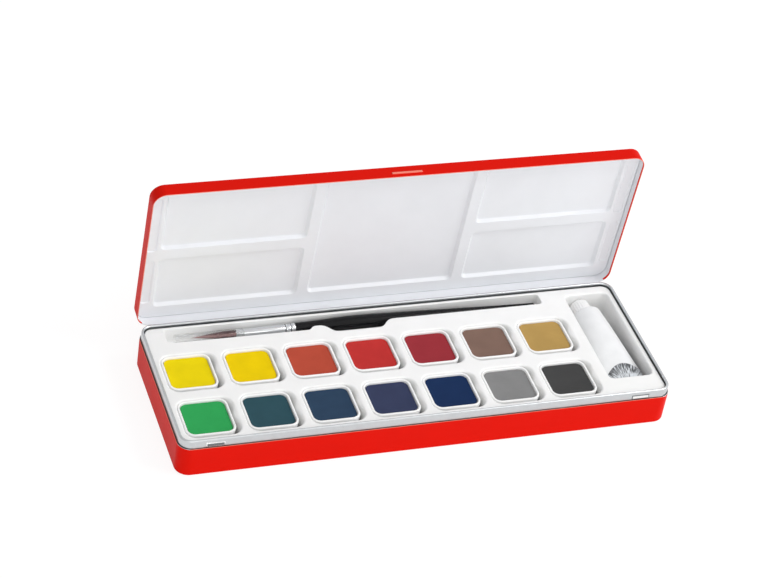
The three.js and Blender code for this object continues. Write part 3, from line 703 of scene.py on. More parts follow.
def tube_material(white, metal, place, turn, fan_top, fan_side):
    """A soft aluminium tube: white lacquer that stops round a fan of bare metal at the fold.

    The bare metal is crinkled: its bright and black rays that run up from the fold are
    painted reflections over real creases, painted shade is darkest along the fan's edge,
    painted light brightens the flap at its side, and the lacquer is dented a little.
    """
    fan_bend, fan_root, rays_per_turn, ray_wander = 0.05, 2.5, 19, 0.3
    flap_start, flap_end, painted_flap_light = 6.5, 8, 0.09
    fan_depth, painted_edge_shade, painted_root_light = 7, -0.07, 0.1
    lacquer_edge = 0.12
    material, tree = start_material("Lacquered aluminium tube")
    axes = own_axes(tree, place, (0, 0, turn))
    found = {"across": axes["X"], "along": axes["Y"], "up": axes["Z"]}
    # each step names its result, its operation and what it works on
    for name, operation, *parts in (
        ("from_top", "SUBTRACT", "across", fan_side),
        ("squared", "MULTIPLY", "from_top", "from_top"),
        ("edge", "MULTIPLY_ADD", "squared", -fan_bend, fan_top),
        ("inside", "SUBTRACT", "edge", "along"),
        ("upper_side", "GREATER_THAN", "up", 0),
        ("from_root", "ADD", "along", fan_root),
        ("ray_turn", "ARCTAN2", "across", "from_root"),
        ("ray", "MULTIPLY", "ray_turn", rays_per_turn),
        ("reach", "MULTIPLY", "along", ray_wander),
    ):
        sockets = {index: found.get(part, part) for index, part in enumerate(parts)}
        found[name] = add_node(tree, "ShaderNodeMath", sockets, operation=operation).outputs[0]
    within = add_node(
        tree, "ShaderNodeMapRange",
        {"From Min": -lacquer_edge, "From Max": lacquer_edge, "Value": found["inside"]},
    ).outputs[0]
    bare = add_node(
        tree, "ShaderNodeMath", {0: within, 1: found["upper_side"]}, operation="MULTIPLY"
    ).outputs[0]
    dents = grain(tree, 7, 2)
    film = add_node(
        tree, "ShaderNodeValToRGB", {"Fac": dents}, shades(white, (0.3, 0.96), (0.7, 1.02))
    )
    rays = {"X": found["ray"], "Y": found["reach"]}
    fan = add_node(tree, "ShaderNodeCombineXYZ", rays).outputs["Vector"]
    crinkle = add_node(
        tree, "ShaderNodeTexNoise", {"Scale": 1, "Detail": 2, "Vector": fan}
    ).outputs["Fac"]
    # painted shade along the fan's edge, fading to painted light at its root
    depth = add_node(
        tree, "ShaderNodeMapRange",
        {
            "From Max": fan_depth, "To Min": painted_edge_shade, "To Max": painted_root_light,
            "Value": found["inside"],
        },
    ).outputs[0]
    # painted light on the flap beside the fan
    painted_flap_lift = add_node(
        tree, "ShaderNodeMapRange",
        {
            "From Min": flap_start, "From Max": flap_end, "To Max": painted_flap_light,
            "Value": found["across"],
        },
    ).outputs[0]
    lift = add_node(tree, "ShaderNodeMath", {0: depth, 1: painted_flap_lift}, operation="ADD").outputs[0]
    lit = add_node(tree, "ShaderNodeMath", {0: crinkle, 1: lift}, operation="ADD").outputs[0]
    # dark and bright painted reflections of the crinkles
    foil = add_node(
        tree, "ShaderNodeValToRGB", {"Fac": lit},
        shades(metal, (0.36, 0.22), (0.5, 0.6), (0.64, 1.5)),
    )
    skin = add_node(
        tree, "ShaderNodeMix",
        {"Factor": bare, 6: film.outputs["Color"], 7: foil.outputs["Color"]}, data_type="RGBA",
    )
    ridges = add_node(
        tree, "ShaderNodeMath", {0: crinkle, 1: bare}, operation="MULTIPLY"
    ).outputs[0]
    coat(
        tree, {"Base Color": skin.outputs[2], "Metallic": bare},
        gloss=(bare, 0.4, 0.35),
        relief=[(dents, 0.35, 0.25), (ridges, 0.8, 0.2)],
    )
    return material


# The tin


def drawn_shell(size, half, foot, rim, hem=0, step=0):
    """A drawn shell: a flat floor, a round edge, an upright wall and a round rim.

    Its section runs from the floor's outer face round the outside and the rim to the inner
    face, where a hem may stand in by a small step.
    """
    edge_turns, rim_turns = 5, 6
    up = 1 if rim > foot else -1
    metal, rounding = size.metal, size.edge_rounding
    bend, lip = (-rounding, foot + up * rounding), (metal + step) / 2
    profile = arc(bend, rounding, -1, 0, edge_turns, up)
    profile += arc((-lip, rim - up * lip), lip, 0, 2, rim_turns, up)
    if hem:
        profile += [(-metal - step, rim - up * hem), (-metal, rim - up * (hem + step))]
    profile += arc(bend, rounding - metal, 0, -1, edge_turns, up)
    bm = bmesh.new()
    sweep_round_wall(bm, profile, half, size.corner_radius, closed=False)
    close_loop(bm, foot)
    close_loop(bm, foot + up * metal)
    bmesh.ops.recalc_face_normals(bm, faces=bm.faces)
    return bm


def faces_in(middle, normal, inner, up):
    """Whether a face of a shell looks inward, where up is 1 if the shell opens upward."""
    within = abs(middle.x) < inner.x and abs(middle.y) < inner.y
    return within and (up * normal.z > 0.5 or normal.x * middle.x + normal.y * middle.y < 0)


class PAINTBOX_OT_base(bpy.types.Operator):
    """Base of the tin: one drawn sheet with a round lower edge, red outside and bare inside."""

    bl_idname = "paintbox.base"
    bl_label = "Tin base"

    def execute(self, context):
        size = sizes_of(context.scene.paintbox_tin)
        low, high = node_box("base_shell")
        bm = drawn_shell(size, high.xy, low.z, high.z)
        inner = high.xy - square(size.metal * PAST_OUTSIDE)

        def bare(middle, normal):
            return middle.z > low.z + size.metal / 2 and faces_in(middle, normal, inner, 1)

        # faces on the rim's top, which get the pale red of a painted highlight
        def painted_highlight(middle, normal):
            return normal.z > 0.3 and middle.z > high.z - size.metal

        paint_faces(bm, painted_highlight, 2)
        paint_faces(bm, bare, 1)
        red = enamel_material("Red stoving enamel", size.red, 0.42, 0.04)
        tin = tinplate_material("Bare tinplate", size.bare, 0.32, ROUND_THE_WALL)
        # pale red enamel that paints a highlight on the rim
        thin = enamel_material("Red enamel worn thin", size.highlight_red, 0.35, 0.3)
        looks = [red, tin, thin]
        piece = finish_piece(bm, "tin_base", looks, "base", ["base_shell"])
        weigh_normals(piece)
        return {"FINISHED"}


class PAINTBOX_OT_collar(bpy.types.Operator):
    """Collar: the bright inner wall with its curled bead and the two bosses that hold the lid."""

    bl_idname = "paintbox.collar"
    bl_label = "Collar"

    boss_width: length("Boss width", "Width of each boss", 9.5)
    boss_height: length("Boss height", "Height of each boss", 2.4)
    boss_proud: length("Boss proud", "How far each boss stands out", 0.2)
    boss_from_centre: length("Boss place", "From the tin's middle to each boss", 112)
    boss_foot: length("Boss foot", "Height of each boss's lower edge", 17.4)

    def execute(self, context):
        size = sizes_of(context.scene.paintbox_tin)
        boss = sizes_of(self)
        low, high = node_box("collar")
        metal, curl = size.metal, size.bead / 2
        curl_end, inner_curl = 3.4, curl - metal * 0.6
        middle = (-curl, high.z - curl)
        profile = [(0, low.z)]
        profile += arc(middle, curl, 0, curl_end, 14) + arc(middle, inner_curl, curl_end, 1, 8)
        profile += [(-metal, high.z - curl), (-metal, low.z)]
        bm = bmesh.new()
        sweep_round_wall(bm, profile, high.xy, size.corner_radius - metal - SEAT)
        bmesh.ops.recalc_face_normals(bm, faces=bm.faces)
        proud = boss.boss_proud
        moves = [(0, CREASE), (0.2, proud * 0.6), (0.25, proud * 0.4)]
        # the left boss gets a painted dark reflection on its crown and painted bright ones on its
        # sides, the right boss the other way round
        for side, crown_reflection, side_reflection in ((-1, 2, 1), (1, 1, 2)):
            crown, sides = press_front_wall(
                bm, high.y, side * boss.boss_from_centre, boss.boss_width, boss.boss_foot,
                boss.boss_height, moves,
            )
            crown.material_index = crown_reflection
            for face in sides:
                face.material_index = side_reflection
        looks = [
            tinplate_material(name, value, roughness, ROUND_THE_WALL)
            for name, value, roughness in (
                ("Collar tinplate", size.bare, 0.3),
                ("Tinplate that the lid has polished", size.polished, 0.25),
                ("Dull tinplate of a pressed boss", size.dull, 0.4),
            )
        ]
        piece = finish_piece(bm, "collar_wall", looks, "base", ["collar"], 50)
        weigh_normals(piece)
        return {"FINISHED"}


class PAINTBOX_OT_lid(bpy.types.Operator):
    """Lid: one drawn sheet with a thumb ridge, red outside and white inside."""

    bl_idname = "paintbox.lid"
    bl_label = "Lid"

    ridge_width: length("Ridge width", "Width of the thumb ridge", 16)
    ridge_height: length("Ridge height", "Height of the thumb ridge", 1.2)
    ridge_proud: length("Ridge proud", "How far the thumb ridge stands out", 0.5)
    ridge_from_rim: length("Ridge place", "From the lid's rim to the ridge", 2.2)

    def execute(self, context):
        size = sizes_of(context.scene.paintbox_tin)
        ridge = sizes_of(self)
        low, high = shut_box("lid_shell")
        bm = drawn_shell(size, high.xy, high.z, low.z, size.hem, size.hem_step)
        foot, proud = low.z + ridge.ridge_from_rim, ridge.ridge_proud
        moves = [(0, CREASE), (0.1, proud * 0.7), (0.2, proud * 0.3 - CREASE)]
        press_front_wall(bm, high.y, 0, ridge.ridge_width, foot, ridge.ridge_height, moves)
        inner = high.xy - square(size.metal * PAST_OUTSIDE)
        hem_end = low.z + size.hem

        def white(middle, normal):
            past_hem = middle.z > hem_end or middle.y > inner.y - size.corner_radius / 4
            below_floor = middle.z < high.z - size.metal / 2
            return past_hem and below_floor and faces_in(middle, normal, inner, -1)

        # faces on the rim and on the thumb ridge, which get the pale red of a painted highlight
        def painted_highlight(middle, normal):
            on_rim = normal.z < -0.5 and middle.z < low.z + size.metal
            return on_rim or middle.y < -high.y - proud * 0.1

        paint_faces(bm, painted_highlight, 2)
        paint_faces(bm, white, 1)
        bmesh.ops.transform(bm, matrix=LID_OPEN, verts=bm.verts)
        looks = [
            enamel_material("Red stoving enamel of the lid", size.red, 0.42, 0.04),
            enamel_material("White stoving enamel inside the lid", size.white, 0.4, 0.4),
            # pale red enamel that paints a highlight on the rim and the thumb ridge
            enamel_material("Red enamel of the lid worn thin", size.highlight_red, 0.35, 0.3),
        ]
        piece = finish_piece(bm, "lid_skin", looks, "lid", ["lid_shell"])
        weigh_normals(piece)
        return {"FINISHED"}


class PAINTBOX_OT_palette(bpy.types.Operator):
    """Palette: a white pressed sheet with a tall middle well and two wells on each side."""

    bl_idname = "paintbox.palette"
    bl_label = "Palette"

    middle_width: length("Middle well", "Width of the middle well", 80)
    upright: length("Uprights", "Width of the ribs beside the middle well", 5)
    cross_rib: length("Cross ribs", "Width of the ribs between the side wells", 6)
    rib_shift: length("Rib shift", "How far the cross ribs lie behind the wells' middle", 2.2)
    side_margin: length("Side margin", "From the lid's inside to the side wells", 7.9)
    rear_margin: length("Rear margin", "From the lid's inside to the wells, at the hinge", 7.2)
    front_margin: length("Front margin", "From the lid's inside to the wells, at the front", 3.9)
    strip_depth: length("Strip depth", "Depth of the strips beside the outer wells", 0.7)
    strip_lip: length("Strip lip", "Radius of the soft edge round each strip", 0.28)
    strip_slope: length("Strip slope", "Width of the sloping side of each strip", 0.63)
    strip_corner: length("Strip corner", "Corner radius of the strips", 2.2)
    strip_edge: length("Strip edge", "From the sheet's edge to a strip", 0.7)
    strip_gap: length("Strip gap", "From a well to the strip beside it", 1.2)
    strip_front: length("Strip front", "How far a strip's front lies behind the well's", 2.6)
    strip_back: length("Strip back", "How far a strip's back lies in front of the well's", 3.4)
    strip_shift: length("Strip shift", "How far the strips' shared gap lies behind the rib", 0.8)

    def execute(self, context):
        size = sizes_of(context.scene.paintbox_tin)
        own = sizes_of(self)
        low, high = shut_box("lid_palette")
        inside = high.xy + square(SEAT)
        back, front = inside.y - own.rear_margin, own.front_margin - inside.y
        rib = (back + front) / 2 + own.rib_shift
        rib_front, rib_back = rib - own.cross_rib / 2, rib + own.cross_rib / 2
        half, outer = own.middle_width / 2, inside.x - own.side_margin
        inner, near, far = half + own.upright, outer + own.strip_gap, high.x - own.strip_edge
        wells, strips = [((-half, front), (half, back))], []
        for x0, x1, strip_0, strip_1 in ((-outer, -inner, -far, -near), (inner, outer, near, far)):
            wells += [((x0, front), (x1, rib_front)), ((x0, rib_back), (x1, back))]
            strips += [
                ((strip_0, front + own.strip_front), (strip_1, rib_front + own.strip_shift)),
                ((strip_0, rib_back + own.strip_shift), (strip_1, back - own.strip_back)),
            ]
        bm = bmesh.new()
        for corner, other in wells:
            face = rounded_face(bm, corner, other, low.z, size.well_corner, 6)
            self.press_well(bm, face, high.z - size.metal - low.z, size.lip, size.well_slope)
        for corner, other in strips:
            face = rounded_face(bm, corner, other, low.z, own.strip_corner, 5)
            self.press_well(bm, face, own.strip_depth, own.strip_lip, own.strip_slope)
        rims = [edge for edge in bm.edges if edge.is_boundary]
        corner_radius = size.corner_radius - size.metal - SEAT
        sheet = rounded_face(bm, -high.xy, high.xy, low.z, corner_radius, 10)
        rims += sheet.edges[:]
        bmesh.ops.delete(bm, geom=[sheet], context="FACES_ONLY")
        bmesh.ops.triangle_fill(bm, use_beauty=True, edges=rims)
        edge = [item for item in bm.edges if item.is_boundary]
        drag(bm, edge, (0, 0, high.z - low.z))
        bmesh.ops.transform(bm, matrix=LID_OPEN, verts=bm.verts)
        white = enamel_material("White stoving enamel of the palette", size.white, 0.4, 0.4)
        piece = finish_piece(
            bm, "palette_sheet", [white], "lid", ["lid_palette"], 60
        )
        weigh_normals(piece)
        return {"FINISHED"}

    def press_well(self, bm, face, depth, lip, slope):
        """Presses one well: a soft lip, a slope and a soft foot."""
        face.normal_flip()
        turns = 4
        tilt = math.atan2(depth, slope)
        sink_bend(bm, face, lip, 0, tilt, turns)
        straight = depth - 2 * lip * (1 - math.cos(tilt))
        sink(bm, face, straight / math.tan(tilt), straight)
        sink_bend(bm, face, lip, tilt, 0, turns)


class PAINTBOX_OT_hinges(bpy.types.Operator):
    """Hinges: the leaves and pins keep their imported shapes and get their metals."""

    bl_idname = "paintbox.hinges"
    bl_label = "Hinges"

    def execute(self, context):
        size = sizes_of(context.scene.paintbox_tin)
        leaf = tinplate_material("Hinge leaf tinplate", size.bare, 0.35, ALONG_THE_TIN)
        pin = tinplate_material("Hinge wire", size.wire, 0.3, ALONG_THE_TIN)
        for side in ("left", "right"):
            dress_node(f"base_hinge_leaf_{side}", leaf)
            dress_node(f"lid_hinge_leaf_{side}", leaf)
            dress_node(f"hinge_pin_{side}", pin)
        return {"FINISHED"}


# The tray and what lies in it


class PAINTBOX_OT_tray(bpy.types.Operator):
    """Tray: one white moulding with its pockets, the brush's channel and the tube's recess."""

    bl_idname = "paintbox.tray"
    bl_label = "Tray"

    flare_right: length("Right flare", "How far a pocket opens out at its right", 2.2)
    flare_front: length("Front flare", "How far a pocket opens out at its front", 1.4)
    flare_small: length("Other flares", "How far a pocket opens out at its left and back", 0.05)
    channel_left: length("Channel left", "Left end of the channel, left of the middle", 117.5)
    channel_right: length("Channel right", "Right end of the channel", 86.7)
    channel_front: length("Channel front", "Front edge of the channel", 33.2)
    channel_back: length("Channel back", "Back edge of the channel", 41.2)
    channel_floor: length("Channel floor", "Height of the channel's floor", 12.1)
    wide_end: length("Wide part end", "Right end of its wide part, left of the middle", 41.5)
    wide_front: length("Wide part front", "Front edge of the wide part", 30.6)
    notch_left: length("Notch left", "Left end of the finger notch, left of the middle", 34.5)
    notch_right: length("Notch right", "Right end of the finger notch", 0.5)
    notch_front: length("Notch front", "Front edge of the finger notch", 27.4)
    notch_floor: length("Notch floor", "Height of the notch's floor", 14.4)
    recess_middle: length("Recess middle", "Middle of the tube's recess along the tin", 112.9)
    recess_half: length("Recess half width", "Half the width of the recess at its floor", 11.9)
    recess_front: length("Recess front", "Front end of the recess, in front of the middle", 29.5)
    recess_back: length("Recess back", "Back end of the recess", 37)
    recess_floor: length("Recess floor", "Height of the recess's floor", 3.9)

    def execute(self, context):
        size = sizes_of(context.scene.paintbox_tray)
        own = sizes_of(self)
        low, high = node_box("tray")
        top = high.z
        bm = bmesh.new()
        for number in PAN_NUMBERS:
            self.sink_pocket(bm, *node_box(f"pan_{number}"), top, size, own)
        self.sink_channel(bm, top, own)
        self.sink_recess(bm, top, own)
        rims = [edge for edge in bm.edges if edge.is_boundary]
        in_from_tin = 2.5
        corner = context.scene.paintbox_tin.corner_radius / MM - in_from_tin - size.edge_rounding
        reach = high.xy - square(size.edge_rounding - size.edge_play)
        outer = rounded_face(bm, -reach, reach, top, corner + size.edge_play, 8)
        rims += outer.edges[:]
        bmesh.ops.triangle_fill(bm, use_beauty=True, edges=rims)
        sink_bend(bm, outer, size.edge_rounding, 0, QUARTER, 4, -1)
        sink(bm, outer, 0, top - size.edge_rounding - low.z)
        bmesh.ops.delete(bm, geom=[outer], context="FACES_ONLY")
        # painted shade in the pockets and the tube's recess
        painted_shade = self.painted_shade_fades(size, own, high)
        white = moulding_material("White polystyrene tray", size.tray_white, 0.34, 0.15, painted_shade)
        piece = finish_piece(bm, "tray_moulding", [white], "tray", ["tray"], 60)
        wall = piece.modifiers.new("Wall", "SOLIDIFY")
        wall.thickness = size.wall * MM
        wall.offset = -1
        wall.use_even_offset = True
        weigh_normals(piece)
        return {"FINISHED"}

    def painted_shade_fades(self, size, own, high):
        """Fades that paint shade into the pockets and, fainter, into the tube's recess.

        The tray's top, the brush's channel and the skirt outside stay unshaded.
        """
        # the painted shade is darkest 4.5 mm below the top and gone 0.8 mm below it
        deep, shallow, strength = high.z - 4.5, high.z - 0.8, 0.5
        channel, channel_fade, channel_gap = own.wide_front, 12, 1.5
        recess, recess_fade, recess_share = own.recess_middle - own.recess_half, 6, 0.35
        skirt, skirt_fade = high.xy - square(size.wall), 0.5
        return (
            ("Z", deep, shallow, strength, 0),
            ("Y", channel - channel_fade, channel - channel_gap, 1, 0),
            ("X", recess - recess_fade, recess, 1, recess_share),
            ("Y", -skirt.y, skirt_fade - skirt.y, 0, 1),
            ("X", -skirt.x, skirt_fade - skirt.x, 0, 1),
            ("X", skirt.x - skirt_fade, skirt.x, 1, 0),
        )

    def sink_pocket(self, bm, pan_low, pan_high, top, size, own):
        """One pan's pocket: a soft rim, flared walls, and a snug lower half."""
        corner_ease, snug_share, foot_rounding, wall_cuts = 0.4, 0.3, 1, 10
        snug_low, snug_high = pan_low.xy - square(size.play), pan_high.xy + square(size.play)
        lip, small = size.lip, own.flare_small
        rim_low = snug_low - Vector((small + lip, own.flare_front + lip))
        rim_high = snug_high + Vector((own.flare_right + lip, small + lip))
        corner = size.pan_corner + small + lip + corner_ease
        face = rounded_face(bm, rim_low, rim_high, top, corner, 6)
        right = [
            edge for edge in face.edges
            if all(vertex.co.x > rim_high.x - SAME_PLACE for vertex in edge.verts)
        ]
        bmesh.ops.subdivide_edges(bm, edges=right, cuts=wall_cuts)
        before = set(bm.verts)
        sink_bend(bm, face, lip, 0, QUARTER, 4)
        bend = pan_low.z + (pan_high.z - pan_low.z) * snug_share
        sink(bm, face, small, top - lip - bend)
        fit_face(bm, face, snug_low, snug_high)
        walls = [vertex for vertex in bm.verts if vertex not in before]
        self.swell_right_wall(walls, (snug_low.y + snug_high.y) / 2, snug_high.x, top, size)
        sink(bm, face, 0, bend - pan_low.z + size.play - foot_rounding)
        sink_bend(bm, face, foot_rounding, QUARTER, 0, 2)

    def swell_right_wall(self, walls, middle, snug, top, size):
        """Swells the middle of a pocket's right wall: it holds the pan, and a nail gets in."""
        half_height, clear_of_snug = 6.5, 0.05
        for vertex in walls:
            away = abs(vertex.co.y - middle)
            if vertex.co.x >= snug + clear_of_snug and away <= half_height:
                amount = size.bump * math.cos(QUARTER * away / half_height) ** 2
                vertex.co.x -= amount * min(1, (top - vertex.co.z) / size.lip)

    def sink_channel(self, bm, top, own):
        """The brush's channel with its wide end and its finger notch."""
        lip, draft, foot_rounding, notch_lean = 0.4, 0.02, 0.8, 5
        notch_corner, end_corner, step_corner = 2.2, 2.4, 1
        step_start, step_end = -own.wide_end + lip - 1.5, -own.wide_end + lip + 1
        back, left, right = own.channel_back + lip, -own.channel_left - lip, own.channel_right + lip
        front, wide, notch = own.channel_front - lip, own.wide_front - lip, own.notch_front - lip
        notch_left, notch_right = -own.notch_left - lip, own.notch_right + lip
        outline = [
            (left, back), (left, wide), (step_start, wide), (step_end, front),
            (notch_left, front), (notch_left + notch_lean, notch),
            (notch_right - notch_lean, notch), (notch_right, front),
            (right, front), (right, back),
        ]
        corners = [bm.verts.new((x, y, top)) for x, y in outline]
        bm.faces.new(corners)
        round_corners(bm, corners[4:8], notch_corner, 5)
        round_corners(bm, [*corners[0:2], *corners[8:10]], end_corner, 5)
        face = round_corners(bm, corners[2:4], step_corner, 3)
        sink_bend(bm, face, lip, 0, QUARTER, 3)
        sink(bm, face, 0, top - lip - own.notch_floor)
        bm.normal_update()
        deep = []
        for part in cut_face(bm, face, (0, own.channel_front, 0), (0, 1, 0)):
            middle = part.calc_center_median()
            if middle.y > own.channel_front or middle.x < -own.wide_end:
                deep.append(part)
        trough = deep[0]
        if len(deep) > 1:
            trough = bmesh.ops.dissolve_faces(bm, faces=deep)["region"][0]
        sink(bm, trough, draft, own.notch_floor - own.channel_floor - foot_rounding)
        sink_bend(bm, trough, foot_rounding, QUARTER, 0, 2)

    def sink_recess(self, bm, top, own):
        """The tube's recess, with a soft rim and a soft foot."""
        lip, flare, corner, foot_rounding = 0.9, 0.3, 4, 3
        half = own.recess_half + flare + lip
        low = (own.recess_middle - half, -own.recess_front - flare - lip)
        high = (own.recess_middle + half, own.recess_back + flare + lip)
        face = rounded_face(bm, low, high, top, corner, 6)
        sink_bend(bm, face, lip, 0, QUARTER, 4)
        sink(bm, face, flare, top - lip - own.recess_floor - foot_rounding)
        sink_bend(bm, face, foot_rounding, QUARTER, 0, 5)


class PAINTBOX_OT_pans(bpy.types.Operator):
    """Pans: fourteen square cups with drafted walls and soft rims."""

    bl_idname = "paintbox.pans"
    bl_label = "Pans"

    def execute(self, context):
        size = sizes_of(context.scene.paintbox_tray)
        rim, foot_edge, floor_rounding = size.pan_rim, 0.3, 0.6
        white = moulding_material("White polypropylene pan", size.pan_white, 0.4, 0.2)
        for number in PAN_NUMBERS:
            low, high = node_box(f"pan_{number}")
            tall, inset, draft = high.z - low.z, square(rim), size.pan_draft
            corner = size.pan_corner - rim
            bm = bmesh.new()
            face = rounded_face(bm, low.xy + inset, high.xy - inset, high.z, corner, 6)
            skirt = copy_face(bm, face)
            sink_bend(bm, skirt, rim, 0, QUARTER, 3, -1)
            sink(bm, skirt, draft, tall - rim - foot_edge)
            sink(bm, skirt, foot_edge, foot_edge)
            sink(bm, face, size.pan_wall - 2 * rim, 0)
            sink_bend(bm, face, rim, 0, QUARTER, 3)
            sink(bm, face, draft * INNER_DRAFT, tall - size.pan_wall - rim - floor_rounding)
            sink_bend(bm, face, floor_rounding, QUARTER, 0, 2)
            bmesh.ops.remove_doubles(bm, verts=bm.verts, dist=SAME_PLACE)
            finish_piece(
                bm, f"pan_cup_{number}", [white], f"paint_pan_{number}", [f"pan_{number}"],
                60,
            )
        return {"FINISHED"}


class PAINTBOX_OT_cakes(bpy.types.Operator):
    """Paint cakes: cast gouache that has dried a little hollow in each pan."""

    bl_idname = "paintbox.cakes"
    bl_label = "Paint cakes"

    cake_1: colour("Cake 1", "Front row, first from the left", "#32A357")
    cake_2: colour("Cake 2", "Front row, second", "#2F4F59")
    cake_3: colour("Cake 3", "Front row, third", "#2D425A")
    cake_4: colour("Cake 4", "Front row, fourth", "#373E5A")
    cake_5: colour("Cake 5", "Front row, fifth", "#182E54")
    cake_6: colour("Cake 6", "Front row, sixth", "#858585")
    cake_7: colour("Cake 7", "Front row, seventh", "#444444")
    cake_8: colour("Cake 8", "Back row, first from the left", "#ECD409")
    cake_9: colour("Cake 9", "Back row, second", "#ECCB01")
    cake_10: colour("Cake 10", "Back row, third", "#B64C39")
    cake_11: colour("Cake 11", "Back row, fourth", "#BC3331")
    cake_12: colour("Cake 12", "Back row, fifth", "#983139")
    cake_13: colour("Cake 13", "Back row, sixth", "#7E655A")
    cake_14: colour("Cake 14", "Back row, seventh", "#B39255")

    def execute(self, context):
        size = sizes_of(context.scene.paintbox_tray)
        edge_in, edge_fall = 0.15, 0.03
        # how wide each ring of the hollow is, and its share of the hollow's depth
        dish = ((0.93, 0.3), (0.8, 0.35), (0.55, 0.25), (0.25, 0.1))
        corner = size.pan_corner - size.pan_wall - size.cake_gap
        for number in PAN_NUMBERS:
            low, high = node_box(f"cake_{number}")
            edge_low, edge_high = low.xy + square(size.cake_gap), high.xy - square(size.cake_gap)
            middle, half = (low.xy + high.xy) / 2, (edge_high - edge_low) / 2
            bm = bmesh.new()
            top = rounded_face(bm, edge_low, edge_high, high.z, corner, 6)
            foot = copy_face(bm, top)
            sink(bm, foot, size.pan_draft * INNER_DRAFT, high.z - low.z)
            sink(bm, top, edge_in, edge_fall)
            for share, fall in dish:
                sink(bm, top, 0, size.cake_hollow * fall)
                fit_face(bm, top, middle - half * share, middle + half * share)
            bmesh.ops.poke(bm, faces=[top])
            bmesh.ops.remove_doubles(bm, verts=bm.verts, dist=SAME_PLACE)
            paint = gouache_material(f"Cast gouache {number}", getattr(self, f"cake_{number}"))
            finish_piece(
                bm, f"paint_cake_{number}", [paint], f"paint_pan_{number}", [f"cake_{number}"],
                50,
            )
        return {"FINISHED"}


